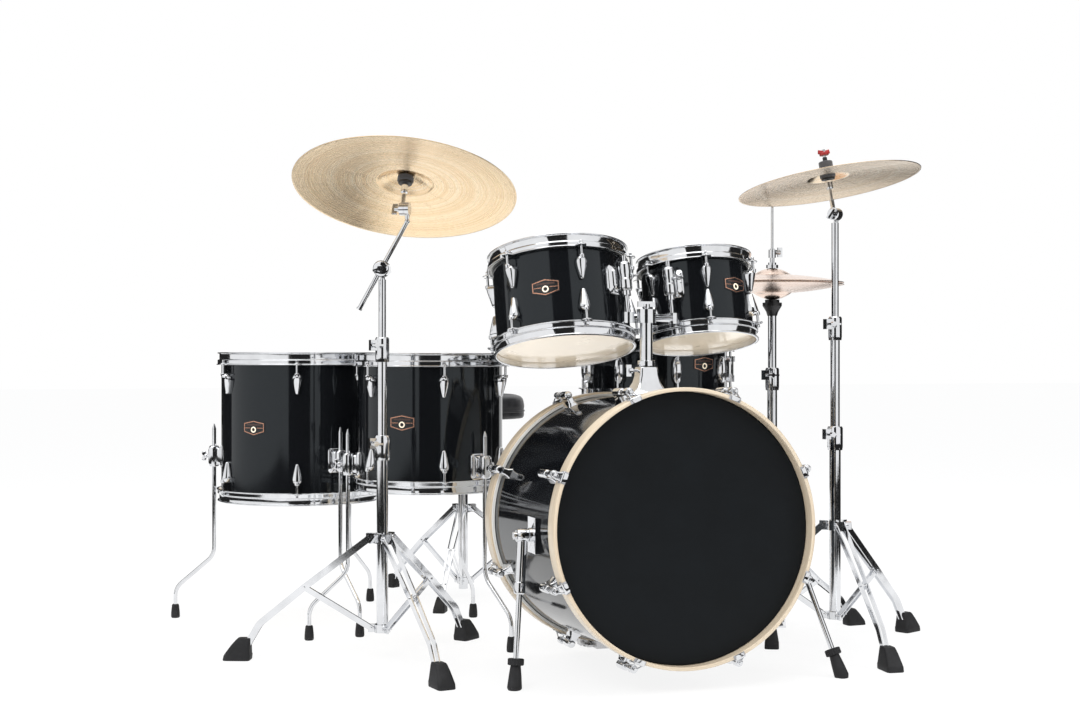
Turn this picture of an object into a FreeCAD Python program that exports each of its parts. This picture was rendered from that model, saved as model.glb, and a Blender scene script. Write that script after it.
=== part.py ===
import FreeCAD, Part
import math
import os

# Acoustic drum kit, in millimetres, Z up.
# Layout frame: the bass drum axis runs along Y with its front towards -Y, the
# origin is on the floor under the middle of the bass drum, +X is the hi-hat side.
# The last section moves everything so that the origin is the middle of the footprint.

V = FreeCAD.Vector
inch = 25.4

# ---- clearances and stock ----------------------------------------------------
running_fit = 0.05       # radial gap of a pin, rod or tube in its bore
side_gap = 0.3           # gap between faces that turn past each other
seat_gap = 0.3           # gap between a loose piece and what carries it
strip_thick = 3.0        # flat steel of the tripod legs
strip_width = 15.0
pin_radius = 3.0

# ---- drums: diameter, depth, centre, tilt towards the player -----------------
bass_dia = 22 * inch
bass_depth = 18 * inch
bass_centre = V(0, 0, 324)
bass_rise = 2.4          # degrees that the front is lifted by the spurs
tom12_dia = 12 * inch
tom12_depth = 8 * inch
tom12_centre = V(-135, 165, 808)
tom12_tilt = 14.0
tom10_dia = 10 * inch
tom10_depth = 7 * inch
tom10_centre = V(203, 176, 815)
tom10_tilt = 12.0
floor14_dia = 14 * inch
floor14_depth = 12 * inch
floor14_centre = V(-348, 545, 528)
floor16_dia = 16 * inch
floor16_depth = 14 * inch
floor16_centre = V(-612, 901, 505)
snare_dia = 14 * inch
snare_depth = 5 * inch
snare_centre = V(236, 509, 653)

shell_wall = 7.0
head_film = 0.6
collar_gap = 1.0         # shell to the head's collar
collar_wall = 0.8
flesh_width = 5.5        # metal ring that the film is held in
flesh_height = 8.0
flesh_drop = 15.0        # bearing edge down to the foot of that ring
hoop_sheet = 2.3
hoop_rise = 14.0         # hoop above the bearing edge
hoop_skirt = 11.0        # skirt of the hoop below the ring's top face
rod_radius = 3.0
rod_hole = 3.5
rod_stand_off = 16.5     # shell to the axis of a tension rod
lug_length = 54.0
lug_width = 26.0
lug_depth = 22.0
rod_shown = 20.0         # bare rod between hoop and lug

vent_radius = 7.0        # grommet of the air vent in the badge

bass_hoop_wall = 8.0
bass_hoop_width = 38.0
bass_hoop_inset = 12.0   # how far the wood hoop reaches back past the bearing edge
bass_rod_stand_off = 22.0
bass_lug_length = 56.0
claw_width = 24.0
claw_sheet = 3.0

spur_hub_half = 12.5

# ---- tom mount ---------------------------------------------------------------
post_place = V(0, -20, 0)
post_radius = 14.0
post_wall = 2.5
post_foot = 520.0
post_top = 760.0
mount_top = 664.0        # top of the cast base on the bass drum
mount_width = 96.0
mount_neck = 42.0
memory_height = 14.0
holder_height = 24.0
ball_radius = 10.0
ball_wall = 5.0
arm_radius = 5.3
arm_top_over = 14.0      # arm above the tom's bracket
tom_stand_off = 34.0     # tom shell to the arm
bracket_height = 66.0
tom12_bracket_angle = -57.5
tom12_bracket_rise = 17.0
tom10_bracket_angle = -135.0
tom10_bracket_rise = 17.0

# ---- floor tom legs ----------------------------------------------------------
leg_radius = 5.2
leg_stand_off = 25.0
leg_top = 510.0
leg_point = 14.0
leg_elbow = 165.0
leg_kick_height = 78.0
leg_bend = 22.0
leg_tip_radius = 11.5
leg_tip_height = 36.0
leg_bracket_low = 398.0
leg_bracket_high = 452.0
floor14_foot_radius = 295.0
floor16_foot_radius = 330.0

# ---- stands ------------------------------------------------------------------
ride_place = V(-526.5, 265.7, 0)
crash_place = V(535, 123, 0)
hihat_place = V(488, 365, 0)
snare_stand_place = V(snare_centre.x, snare_centre.y, 0)
throne_place = V(-105, 1150, 0)
tube_wall = 1.6
base_tube_radius = 13.2
mid_tube_radius = 11.0
top_tube_radius = 8.4
clamp_wall = 5.0
ride_clamps = (453.0, 674.0)
crash_clamps = (465.0, 725.0)
clamp_height = 56.0
clamp_below = 40.0       # part of a clamp below the end of its tube
tube_overlap = 110.0
ride_boom_height = 884.0
boom_radius = 5.2
boom_below = 101.0
boom_above = 121.0
boom_lean = 28.8
boom_heading = -20.0
boom_neck = 28.0
ride_tilt_heading = -28.4   # direction of the ride tilter's hinge
crash_ratchet_height = 1024.0
crash_tilt_heading = 36.0
ratchet_radius = 15.0
ratchet_thick = 11.0

# ---- cymbals -----------------------------------------------------------------
ride_dia = 20 * inch
crash_dia = 17 * inch
hihat_dia = 14 * inch
sheet_metal = 1.6
cymbal_hole = 6.5
sleeve_radius = 5.2
screw_radius = 3.5
felt_radius = 18.5
felt_thick = 17.0
cup_radius = 16.0
cup_thick = 5.0
stem_radius = 8.0        # black sleeve under the cup
stem_length = 22.0
ride_bell = (63.0, 20.0)      # radius and height of the bell
ride_bow = 18.0
crash_bell = (50.0, 17.0)
crash_bow = 17.0
hihat_bell = (48.0, 17.0)
hihat_bow = 19.0
ride_rod_length = 85.0
crash_rod_length = 105.0
ride_cymbal_lean = (18.6, 10.3)
crash_cymbal_lean = (8.3, -6.1)

# ---- hi-hat ------------------------------------------------------------------
hihat_lip = 868.0
hihat_gap = 3.0
hihat_seat_top = 835.0
hihat_seat_height = 47.0
hihat_rod_radius = 3.0
hihat_rod_top = 1066.0
hihat_tube_radius = 10.5
hihat_clamp_low = 602.0
hihat_pedal_heading = 64.0

# ---- throne ------------------------------------------------------------------
seat_radius = 176.0
seat_low = 510.0
seat_high = 581.0
seat_round = 22.0

# ---- kick pedal --------------------------------------------------------------
axle_place = V(0, 300, 122)
beater_reach = 188.0
beater_lean = 30.0
heel_place = V(0, 532, 26)
toe_place = V(0, 268, 92)
pedal_width = 74.0
sprocket_radius = 30.0


# ---- small helpers -----------------------------------------------------------
def cylinder(start, end, radius):
    return Part.makeCylinder(radius, (end - start).Length, start, end - start)


def tube(start, end, outer, inner):
    return cylinder(start, end, outer).cut(cylinder(start, end, inner))


def disc(height, radius, thick, bore=0.0):
    plate = Part.makeCylinder(radius, thick, V(0, 0, height))
    if bore:
        plate = plate.cut(Part.makeCylinder(bore, thick, V(0, 0, height)))
    return plate


def box(low, high):
    size = high - low
    return Part.makeBox(size.x, size.y, size.z, low)


def turned(outline):
    # outline is a list of (radius, height) corners, spun about Z
    wire = Part.makePolygon([V(r, 0, z) for r, z in outline + outline[:1]])
    return Part.Face(wire).revolve(V(0, 0, 0), V(0, 0, 1), 360)


def bent_path(points, bend):
    # straight runs joined by tangent arcs of one radius
    edges = []
    last = points[0]
    for before, corner, after in zip(points, points[1:], points[2:]):
        back = (before - corner).normalize()
        ahead = (after - corner).normalize()
        half = back.getAngle(ahead) / 2
        reach = bend / math.tan(half)
        enter = corner + back * reach
        leave = corner + ahead * reach
        middle = corner + (back + ahead).normalize() * (bend / math.sin(half) - bend)
        edges.append(Part.LineSegment(last, enter).toShape())
        edges.append(Part.Arc(enter, middle, leave).toShape())
        last = leave
    edges.append(Part.LineSegment(last, points[-1]).toShape())
    return Part.Wire(edges)


def bent_rod(points, radius, bend):
    path = bent_path(points, bend)
    ring = Part.Wire(Part.makeCircle(radius, points[0], points[1] - points[0]))
    return path.makePipeShell([ring], True, False)


def slot_outline(start, end, radius):
    # straight bar with round ends, in the XY plane
    along = (end - start).normalize()
    side = V(-along.y, along.x, 0) * radius
    return Part.Wire([
        Part.LineSegment(start + side, end + side).toShape(),
        Part.Arc(end + side, end + along * radius, end - side).toShape(),
        Part.LineSegment(end - side, start - side).toShape(),
        Part.Arc(start - side, start - along * radius, start + side).toShape(),
    ])


def strip(points, width, thick, bend=0.0):
    # flat bar standing on edge along a path in the XZ plane, centred on Y = 0
    flat = [V(p.x, p.z, 0) for p in points]
    if bend:
        outline = bent_path(flat, bend).makeOffset2D(width / 2)
    else:
        outline = slot_outline(flat[0], flat[1], width / 2)
    bar = Part.Face(outline).extrude(V(0, 0, thick))
    bar.rotate(V(0, 0, 0), V(1, 0, 0), 90)
    bar.translate(V(0, thick / 2, 0))
    return bar


def teardrop(big, small, reach, thick):
    # plate with a big round at the origin and a small one at -reach on Y
    lean = math.asin((big - small) / reach)
    side = V(math.cos(lean), -math.sin(lean), 0)
    far = V(0, -reach, 0)
    other = V(-side.x, side.y, 0)
    edges = [
        Part.Arc(side * big, V(0, big, 0), other * big).toShape(),
        Part.LineSegment(other * big, far + other * small).toShape(),
        Part.Arc(far + other * small, far + V(0, -small, 0), far + side * small).toShape(),
        Part.LineSegment(far + side * small, side * big).toShape(),
    ]
    return Part.Face(Part.Wire(edges)).extrude(V(0, 0, thick))


def fused(shapes):
    return shapes[0].fuse(shapes[1:]).removeSplitter()


def group(shapes):
    solids = []
    for shape in shapes:
        solids.extend(shape.Solids)
    return Part.makeCompound(solids)


def placed(shape, where, axis=V(0, 0, 1), degrees=0.0):
    copy = shape.copy()
    copy.Placement = FreeCAD.Placement(where, FreeCAD.Rotation(axis, degrees)).multiply(copy.Placement)
    return copy


def around(shape, angles):
    return [placed(shape, V(0, 0, 0), V(0, 0, 1), a) for a in angles]


def stood(shape, where, direction):
    # lay the shape's Z along the direction and move it there
    copy = shape.copy()
    turn = FreeCAD.Rotation(V(0, 0, 1), direction)
    copy.Placement = FreeCAD.Placement(where, turn).multiply(copy.Placement)
    return copy


def polar(radius, degrees, height=0.0):
    a = math.radians(degrees)
    return V(radius * math.cos(a), radius * math.sin(a), height)


def wing_bolt(start, direction, stem, radius=3.0, span=26.0):
    # threaded stem from start outwards, with two flat wings on its end
    screw = Part.makeCylinder(radius, stem)
    hub = Part.makeCylinder(radius + 3, 9, V(0, 0, stem))
    wing = box(V(-span / 2, -2, stem + 3), V(span / 2, 2, stem + 15))
    return stood(fused([screw, hub, wing]), start, direction)


# ---- drums -------------------------------------------------------------------
def shell_radius(dia):
    return dia / 2 - 1


def drum_shell(dia, depth):
    r = shell_radius(dia)
    edge = depth / 2
    bevel = shell_wall - 2
    return turned([(r, -edge), (r, edge), (r - 2, edge), (r - shell_wall, edge - bevel),
                   (r - shell_wall, -edge + bevel), (r - 2, -edge)])


def drum_head(dia, depth, drop=flesh_drop):
    # film, its collar over the edge and the ring that holds it
    r = shell_radius(dia) + collar_gap
    edge = depth / 2
    low = edge - drop
    return turned([(0, edge), (r, edge), (r, low), (r + flesh_width, low),
                   (r + flesh_width, low + flesh_height), (r + collar_wall, low + flesh_height),
                   (r + collar_wall, edge + head_film), (0, edge + head_film)])


def steel_hoop(dia, depth, angles):
    # triple-flanged: bead, wall, step over the head's ring, skirt, ear flange
    r = shell_radius(dia) + collar_gap + collar_wall + 1
    out = shell_radius(dia) + collar_gap + flesh_width + 1
    seat = depth / 2 - flesh_drop + flesh_height
    top = depth / 2 + hoop_rise
    foot = seat - hoop_skirt
    t = hoop_sheet
    ring = turned([(r, seat), (out, seat), (out, foot), (out + 2 * t, foot), (out + 2 * t, foot + t),
                   (out + t, foot + t), (out + t, seat + t), (r + t, seat + t), (r + t, top - t),
                   (r + 3 * t, top - t), (r + 3 * t, top), (r, top)])
    reach = shell_radius(dia) + rod_stand_off
    tab = box(V(out + t / 2, -11, foot), V(reach, 11, foot + t))
    nose = Part.makeCylinder(11, t, V(reach, 0, foot))
    keep = disc(foot, reach + 11, t, out + t / 2)
    ear = tab.fuse(nose).common(keep)
    hole = Part.makeCylinder(rod_hole, 4 * t, V(reach, 0, foot - t))
    whole = ring.fuse(around(ear, angles)).removeSplitter()
    for cut in around(hole, angles):
        whole = whole.cut(cut)
    return whole


def tension_rod(dia, depth, length):
    # flange and square head above the hoop's ear, stem through it into the lug
    reach = shell_radius(dia) + rod_stand_off
    ear_top = depth / 2 - flesh_drop + flesh_height - hoop_skirt + hoop_sheet
    stem = Part.makeCylinder(rod_radius, length, V(reach, 0, ear_top - length))
    flange = Part.makeCylinder(5.6, 2.5, V(reach, 0, ear_top))
    head = box(V(reach - 3, -3, ear_top + 2.5), V(reach + 3, 3, ear_top + 10))
    return fused([stem, flange, head])


def shield_lug(dia, top, length=lug_length):
    # cast lug on the outside of the shell, wide end up, bored for the rod
    r = shell_radius(dia)
    big = lug_width / 2
    small = 4.0
    body = teardrop(big, small, length - big - small, lug_depth + 8)
    body = body.makeFillet(4, [e for e in body.Edges if e.BoundBox.ZMin > lug_depth])
    body.rotate(V(0, 0, 0), V(1, 0, 0), 90)
    body.rotate(V(0, 0, 0), V(0, 0, 1), 90)
    body.translate(V(r - 8, 0, top - big))
    body = body.cut(Part.makeCylinder(r, 2 * length, V(0, 0, top - 1.5 * length)))
    slope = box(V(0, -big, -length), V(lug_depth, big, length))
    slope.rotate(V(0, 0, 0), V(0, 1, 0), -12)
    slope.translate(V(r + lug_depth, 0, top - 0.55 * length))
    bore = Part.makeCylinder(rod_radius + running_fit, length * 0.6, V(r + rod_stand_off, 0, top - length * 0.55))
    return body.cut(slope).cut(bore)


def oval_lug(dia, length):
    # one-piece lug that takes a rod at each end
    r = shell_radius(dia)
    w = lug_width / 2
    body = teardrop(w, w - 0.01, length - 2 * w, lug_depth + 8)
    body = body.makeFillet(5, [e for e in body.Edges if e.BoundBox.ZMin > lug_depth])
    body.rotate(V(0, 0, 0), V(1, 0, 0), 90)
    body.rotate(V(0, 0, 0), V(0, 0, 1), 90)
    body.translate(V(r - 8, 0, length / 2 - w))
    body = body.cut(Part.makeCylinder(r, 2 * length, V(0, 0, -length)))
    return body.cut(Part.makeCylinder(rod_radius + running_fit, length + 2, V(r + rod_stand_off, 0, -length / 2 - 1)))


def badge(dia, angle, height, width=64.0, tall=40.0):
    # six-sided plate bent to the shell, with a vent grommet through it
    r = shell_radius(dia)
    w = width / 2
    h = tall / 2
    corners = [(-w, h * 0.68), (0, h), (w, h * 0.68), (w, -h * 0.54), (0, -h), (-w, -h * 0.54)]
    wire = Part.makePolygon([V(r - 20, x, height + z) for x, z in corners + corners[:1]])
    slab = Part.Face(wire).extrude(V(30, 0, 0))
    shape = slab.common(disc(height - tall, r + 1.2, 2 * tall, r))
    low = height - 4
    hole = Part.makeCylinder(vent_radius, 40, V(r - 20, 0, low), V(1, 0, 0))
    bore = Part.makeCylinder(vent_radius - 2.5, 40, V(r - 20, 0, low), V(1, 0, 0))
    rim = hole.cut(bore).common(disc(low - tall, r + 2.4, 2 * tall, r))
    return around(group([shape.cut(hole), rim]), [angle])[0]


def both_ends(shape):
    # the same piece on the other end of the drum
    return [shape, shape.mirror(V(0, 0, 0), V(0, 0, 1))]


def drum(dia, depth, lugs, first, badge_angle, badge_height):
    angles = [first + k * 360 / lugs for k in range(lugs)]
    foot = depth / 2 - flesh_drop + flesh_height - hoop_skirt
    length = min(lug_length, foot - rod_shown * 0.6 - 1)
    top = max(foot - rod_shown, length + 1)
    lug = shield_lug(dia, top, length)
    rod = tension_rod(dia, depth, foot + hoop_sheet - top + 24)
    fittings = []
    for piece in both_ends(lug) + both_ends(rod):
        fittings.extend(around(piece, angles))
    fittings.append(badge(dia, badge_angle, badge_height))
    hoop = steel_hoop(dia, depth, angles)
    return {
        "shell": drum_shell(dia, depth),
        "heads": both_ends(drum_head(dia, depth)),
        "hoops": both_ends(hoop),
        "fittings": fittings,
    }


def put_drum(parts, centre, tilt=0.0):
    out = {}
    for name, value in parts.items():
        shape = group(value) if isinstance(value, list) else value
        out[name] = placed(shape, centre, V(1, 0, 0), -tilt)
    return out


# ---- bass drum ---------------------------------------------------------------
def bass_angles():
    return [22.5 + 45 * k for k in range(8)]


def bass_hoop_radius():
    return shell_radius(bass_dia) + collar_gap + collar_wall + 1.2


def bass_hoop():
    edge = bass_depth / 2
    low = edge - bass_hoop_inset
    r = bass_hoop_radius()
    ring = disc(low, r + bass_hoop_wall, bass_hoop_width, r)
    return ring.makeFillet(1.6, [e for e in ring.Edges if len(e.Vertexes) == 1])


def bass_claw():
    # grey pad on the hoop's face, steel hook over it and a boss for the rod
    edge = bass_depth / 2
    face = edge - bass_hoop_inset + bass_hoop_width
    r = bass_hoop_radius()
    outer = r + bass_hoop_wall
    reach = shell_radius(bass_dia) + bass_rod_stand_off
    half = claw_width / 2
    t = claw_sheet
    pad = box(V(r + 0.6, -half - 1, face), V(outer + 0.8, half + 1, face + 1.5))
    lip = box(V(r + 1, -half, face + 1.5), V(outer + 0.8 + t, half, face + 1.5 + t))
    side = box(V(outer + 0.8, -half, face - 34), V(outer + 0.8 + t, half, face + 1.5))
    boss = Part.makeCylinder(8.5, 18, V(reach + 4, 0, face - 34))
    web = box(V(outer + 0.8, -3, face - 34), V(reach + 4, 3, face - 16))
    hook = fused([lip, side, boss, web])
    bore = Part.makeCylinder(rod_hole, 60, V(reach + 4, 0, face - 50))
    return pad, hook.cut(bore)


def bass_rod():
    face = bass_depth / 2 - bass_hoop_inset + bass_hoop_width
    reach = shell_radius(bass_dia) + bass_rod_stand_off + 4
    top = face - 16
    stem = Part.makeCylinder(rod_radius, 70, V(reach, 0, top - 70))
    flange = Part.makeCylinder(6.5, 2.5, V(reach, 0, top))
    head = box(V(reach - 3, -3, top + 2.5), V(reach + 3, 3, top + 10))
    return fused([stem, flange, head])


def bass_lug():
    face = bass_depth / 2 - bass_hoop_inset + bass_hoop_width
    r = shell_radius(bass_dia)
    reach = r + bass_rod_stand_off + 4
    top = face - 56
    post = box(V(r - 6, -8, top - bass_lug_length), V(r + 14, 8, top - 8))
    foot = box(V(r - 6, -12, top - bass_lug_length), V(r + 5, 12, top - 6))
    barrel = Part.makeCylinder(9, bass_lug_length - 10, V(reach, 0, top - bass_lug_length + 10))
    body = fused([post, foot, barrel, box(V(r, -6, top - bass_lug_length + 12), V(reach, 6, top - 2))])
    body = body.cut(Part.makeCylinder(r, 2 * bass_lug_length, V(0, 0, top - 1.5 * bass_lug_length)))
    return body.cut(Part.makeCylinder(rod_radius + running_fit, 40, V(reach, 0, top - 38)))


def put_bass(shape):
    # drum axis from local Z to the kit's -Y, front lifted
    return placed(shape, bass_centre, V(1, 0, 0), 90 - bass_rise)


def bass_local_height(point):
    # world point to the height of the shell's axis under it
    return bass_centre.z - (point.y - bass_centre.y) * math.tan(math.radians(bass_rise))


def spur_pivot(side):
    return V(side * (shell_radius(bass_dia) + 26), -90, bass_local_height(V(0, -90, 0)) - 14)


def spur_bracket(side):
    pivot = spur_pivot(side)
    out = V(side, 0, 0)
    near = out * (spur_hub_half + side_gap)
    r = shell_radius(bass_dia)
    plate = box(V(r - 20, pivot.y - 26, pivot.z - 38), V(r + 6, pivot.y + 26, pivot.z + 38))
    if side < 0:
        plate = plate.mirror(V(0, 0, 0), V(1, 0, 0))
    boss = cylinder(pivot - out * 34, pivot - near, 15)
    pin = cylinder(pivot - near, pivot + near, 5)
    cap = cylinder(pivot + near, pivot + near + out * 7, 8)
    shell = put_bass(Part.makeCylinder(r, bass_depth, V(0, 0, -bass_depth / 2)))
    return fused([plate, boss, pin, cap]).cut(shell)


def spur(side, foot):
    # swivel hub, outer tube, inner leg, lock collar and rubber tip
    pivot = spur_pivot(side)
    way = (foot - pivot).normalize()
    reach = (foot - pivot).Length
    hub = cylinder(pivot - V(spur_hub_half, 0, 0), pivot + V(spur_hub_half, 0, 0), 14)
    sleeve = cylinder(pivot + way * 12, pivot + way * 122, 11)
    leg = cylinder(pivot + way * 100, pivot + way * (reach - 20), 6)
    lock = cylinder(pivot + way * (reach - 64), pivot + way * (reach - 52), 17)
    tip = Part.makeCone(10, 16, 58)
    tip = stood(tip, pivot + way * (reach - 52), way)
    below = box(V(-900, -900, -100), V(900, 900, 0))
    metal = fused([hub, sleeve]).cut(cylinder(pivot - V(20, 0, 0), pivot + V(20, 0, 0), 5 + running_fit))
    return fused([metal, leg, lock, tip]).cut(below)


def mount_base():
    # pyramid casting on the shell, bored for the post, with its lock screw
    r = shell_radius(bass_dia)
    seat = bass_local_height(post_place) + r - 30
    low = mount_width / 2
    neck = mount_neck / 2
    rings = []
    for half, deep, z in [(low, low * 0.8, seat), (low, low * 0.8, seat + 36), (low * 0.62, low * 0.55, seat + 48),
                          (neck, neck, mount_top - 16), (neck, neck, mount_top)]:
        rings.append(Part.makePolygon([V(-half, -deep, z), V(half, -deep, z), V(half, deep, z),
                                       V(-half, deep, z), V(-half, -deep, z)]))
    body = Part.makeLoft(rings, True, True)
    body.translate(post_place)
    collar = Part.makeCylinder(19, memory_height, post_place + V(0, 0, mount_top))
    shell = put_bass(Part.makeCylinder(r, bass_depth, V(0, 0, -bass_depth / 2)))
    bore = Part.makeCylinder(post_radius + running_fit, 400, post_place + V(0, 0, mount_top - 200))
    body = fused([body, collar]).cut(shell).cut(bore)
    height = mount_top - 8
    start = post_place + V(-post_radius - running_fit, 0, height)
    body = body.cut(cylinder(start, start - V(40, 0, 0), 3 + running_fit))
    bolt = wing_bolt(start, V(-1, 0, 0), 18)
    return [body, bolt]


def bass_drum():
    shell = put_bass(drum_shell(bass_dia, bass_depth))
    hole = Part.makeCylinder(post_radius + 2, 200, post_place + V(0, 0, mount_top - 150))
    shell = shell.cut(hole)
    heads = both_ends(drum_head(bass_dia, bass_depth, bass_hoop_inset + flesh_height))
    pad, hook = bass_claw()
    angles = bass_angles()
    claws = []
    for piece in both_ends(pad) + both_ends(hook) + both_ends(bass_rod()):
        claws.extend(around(piece, angles))
    lugs = []
    for piece in both_ends(bass_lug()):
        lugs.extend(around(piece, angles))
    return {
        "bass_shell": shell,
        "bass_front_head": put_bass(heads[0]),
        "bass_batter_head": put_bass(heads[1]),
        "bass_hoops": put_bass(group(both_ends(bass_hoop()))),
        "bass_lugs": put_bass(group(lugs)),
        "bass_claws": put_bass(group(claws)),
        "bass_brackets": group([spur_bracket(-1), spur_bracket(1)] + mount_base()),
        "left_spur": spur(-1, V(-332, -125, 0)),
        "right_spur": spur(1, V(373, -215, 0)),
    }


# ---- tom mount and brackets --------------------------------------------------
def drum_axis(tilt):
    a = math.radians(tilt)
    return V(0, math.sin(a), math.cos(a))


def arm_line(centre, tilt, dia, angle):
    # a point on the arm level with the drum's middle, and the arm's direction
    reach = shell_radius(dia) + tom_stand_off
    local = polar(reach, angle)
    turn = FreeCAD.Rotation(V(1, 0, 0), -tilt)
    return centre + turn.multVec(local), drum_axis(tilt)


def ball_place(centre, tilt, dia, angle):
    # where the arm's line meets the height of the holder
    point, way = arm_line(centre, tilt, dia, angle)
    height = post_top + holder_height / 2
    return point + way * ((height - point.z) / way.z)


def tom_arm(centre, tilt, dia, angle, rise):
    ball = ball_place(centre, tilt, dia, angle)
    point, way = arm_line(centre, tilt, dia, angle)
    top = point + way * (rise + bracket_height / 2 + arm_top_over)
    lock = point + way * (rise - bracket_height / 2 - side_gap - 10)
    stem = cylinder(ball, top, arm_radius)
    ring = cylinder(lock, lock + way * 10, arm_radius + 4)
    return fused([Part.makeSphere(ball_radius, ball), stem, ring])


def ball_clamp(ball, way):
    # housing round the ball, open upwards for the arm to lean
    body = Part.makeCylinder(ball_radius + ball_wall, holder_height, ball - V(0, 0, holder_height / 2))
    cup = Part.makeSphere(ball_radius + running_fit, ball)
    mouth = Part.makeCone(0, 26, 40)
    throat = stood(mouth.fuse(Part.makeCylinder(arm_radius + 1.5, 40)), ball, way)
    return body, cup.fuse(throat)


def tom_holder():
    # post, cross casting and its two ball clamps
    axis = post_place
    inner = post_radius - post_wall
    post = tube(axis + V(0, 0, post_foot), axis + V(0, 0, post_top + 4), post_radius, inner)
    hub = Part.makeCylinder(post_radius + 7, holder_height + 6, axis + V(0, 0, post_top))
    solids = [hub]
    cuts = []
    for centre, tilt, dia, angle in [(tom12_centre, tom12_tilt, tom12_dia, tom12_bracket_angle),
                                     (tom10_centre, tom10_tilt, tom10_dia, tom10_bracket_angle)]:
        ball = ball_place(centre, tilt, dia, angle)
        body, space = ball_clamp(ball, drum_axis(tilt))
        level = axis + V(0, 0, ball.z)
        arm = cylinder(level, ball, 9)
        solids.extend([body, arm])
        cuts.append(space)
    casting = fused(solids)
    for space in cuts:
        casting = casting.cut(space)
    casting = casting.cut(cylinder(axis + V(0, 0, post_top - 5), axis + V(0, 0, post_top + 4), post_radius))
    nut = wing_bolt(axis + V(0, 0, post_top + holder_height + 6), V(0, 0, 1), 2, 5, 40)
    return group([post, casting, nut])


def tom_bracket(dia, angle, rise):
    # clamp on the tom's shell, in the drum's own frame, bored for the arm
    r = shell_radius(dia)
    reach = r + tom_stand_off
    half = bracket_height / 2
    plate = box(V(r - 10, -22, -half), V(r + 6, 22, half))
    block = box(V(r, -12, -half + 6), V(reach, 12, half - 6))
    barrel = Part.makeCylinder(14, bracket_height, V(reach, 0, -half))
    body = fused([plate, block, barrel])
    body = body.cut(Part.makeCylinder(r, 2 * bracket_height, V(0, 0, -bracket_height)))
    body = body.cut(Part.makeCylinder(arm_radius + running_fit, bracket_height + 2, V(reach, 0, -half - 1)))
    start = V(reach, arm_radius + running_fit, 6)
    body = body.cut(cylinder(start, start + V(0, 30, 0), 3 + running_fit))
    bolt = wing_bolt(start, V(0, 1, 0), 14)
    return [placed(s, V(0, 0, rise), V(0, 0, 1), angle) for s in (body, bolt)]


def rack_tom(dia, depth, first, centre, tilt, angle, rise, badge_angle, badge_height):
    parts = drum(dia, depth, 6, first, badge_angle, badge_height)
    parts["fittings"] = parts["fittings"] + tom_bracket(dia, angle, rise)
    return put_drum(parts, centre, tilt)


# ---- floor toms --------------------------------------------------------------
def floor_leg(dia, foot_radius):
    # rod along X from the drum's axis, pointed top, rubber tip on the floor
    reach = shell_radius(dia) + leg_stand_off
    points = [V(reach, 0, leg_top - leg_point), V(reach, 0, leg_elbow),
              V(foot_radius, 0, leg_kick_height), V(foot_radius, 0, leg_tip_height - 12)]
    rod = bent_rod(points, leg_radius, leg_bend)
    point = Part.makeCone(leg_radius, 1.5, leg_point, V(reach, 0, leg_top - leg_point))
    tip = Part.makeCone(leg_tip_radius, leg_tip_radius - 1.5, leg_tip_height, V(foot_radius, 0, 0))
    return fused([rod, point, tip])


def leg_bracket(dia):
    # plate on the shell, clamp block round the leg and a wing bolt
    r = shell_radius(dia)
    reach = r + leg_stand_off
    low = leg_bracket_low
    high = leg_bracket_high
    plate = box(V(r - 12, -24, low - 6), V(r + 5, 24, high + 6))
    block = box(V(r, -15, low), V(reach + 14, 15, high))
    body = fused([plate, block]).cut(Part.makeCylinder(r, 2 * high, V(0, 0, 0)))
    body = body.cut(Part.makeCylinder(leg_radius + running_fit, 2 * high, V(reach, 0, 0)))
    middle = V(reach, 0, (low + high) / 2)
    body = body.cut(cylinder(middle, middle + V(30, 0, 0), 3 + running_fit))
    return [body, wing_bolt(middle + V(leg_radius + running_fit, 0, 0), V(1, 0, 0), 12)]


def floor_tom(dia, depth, first, centre, badge_angle, badge_height, leg_angles, foot_radius):
    parts = put_drum(drum(dia, depth, 6, first, badge_angle, badge_height), centre)
    floor = V(centre.x, centre.y, 0)
    brackets = []
    for piece in leg_bracket(dia):
        brackets.extend(placed(s, floor) for s in around(piece, leg_angles))
    parts["fittings"] = group([parts["fittings"]] + brackets)
    leg = floor_leg(dia, foot_radius)
    legs = [placed(s, floor) for s in around(leg, leg_angles)]
    return parts, legs


# ---- snare drum --------------------------------------------------------------
snare_gate_angle = -31.7
snare_arm_angles = (60, 180, 300)
wire_count = 16
wire_radius = 0.9
wire_pitch = 2.6


def snare_hoop_cut(hoop, depth):
    # the gates in the lower hoop that the straps pass through
    r = shell_radius(snare_dia)
    gate = box(V(r, -17, -depth / 2 - 7), V(r + 12, 17, -depth / 2 - 0.2))
    notch = box(V(r + 9.9, -17, -depth / 2 - 7), V(r + 13, 17, -depth / 2 + flesh_drop + hoop_skirt))
    for cut in around(gate.fuse(notch), [snare_gate_angle, snare_gate_angle + 180]):
        hoop = hoop.cut(cut)
    return hoop


def snare_wires(depth):
    r = shell_radius(snare_dia)
    level = -depth / 2 - head_film - seat_gap - wire_radius
    half = (wire_count - 1) * wire_pitch / 2 + 2
    end = r - 22
    pieces = []
    for k in range(wire_count):
        y = (k - (wire_count - 1) / 2) * wire_pitch
        pieces.append(cylinder(V(-end, y, level), V(end, y, level), wire_radius))
    for side in (-1, 1):
        plate = box(V(end, -half, level - 1), V(end + 10, half, level + 1))
        strap = box(V(end + 10, -12, level - 0.4), V(r + 10.4, 12, level + 0.4))
        rise = box(V(r + 10.4, -12, level - 0.4), V(r + 11.2, 12, -12))
        whole = fused([plate, strap, rise])
        if side < 0:
            whole = whole.mirror(V(0, 0, 0), V(1, 0, 0))
        pieces.append(whole)
    return [placed(p, V(0, 0, 0), V(0, 0, 1), snare_gate_angle) for p in pieces]


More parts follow.
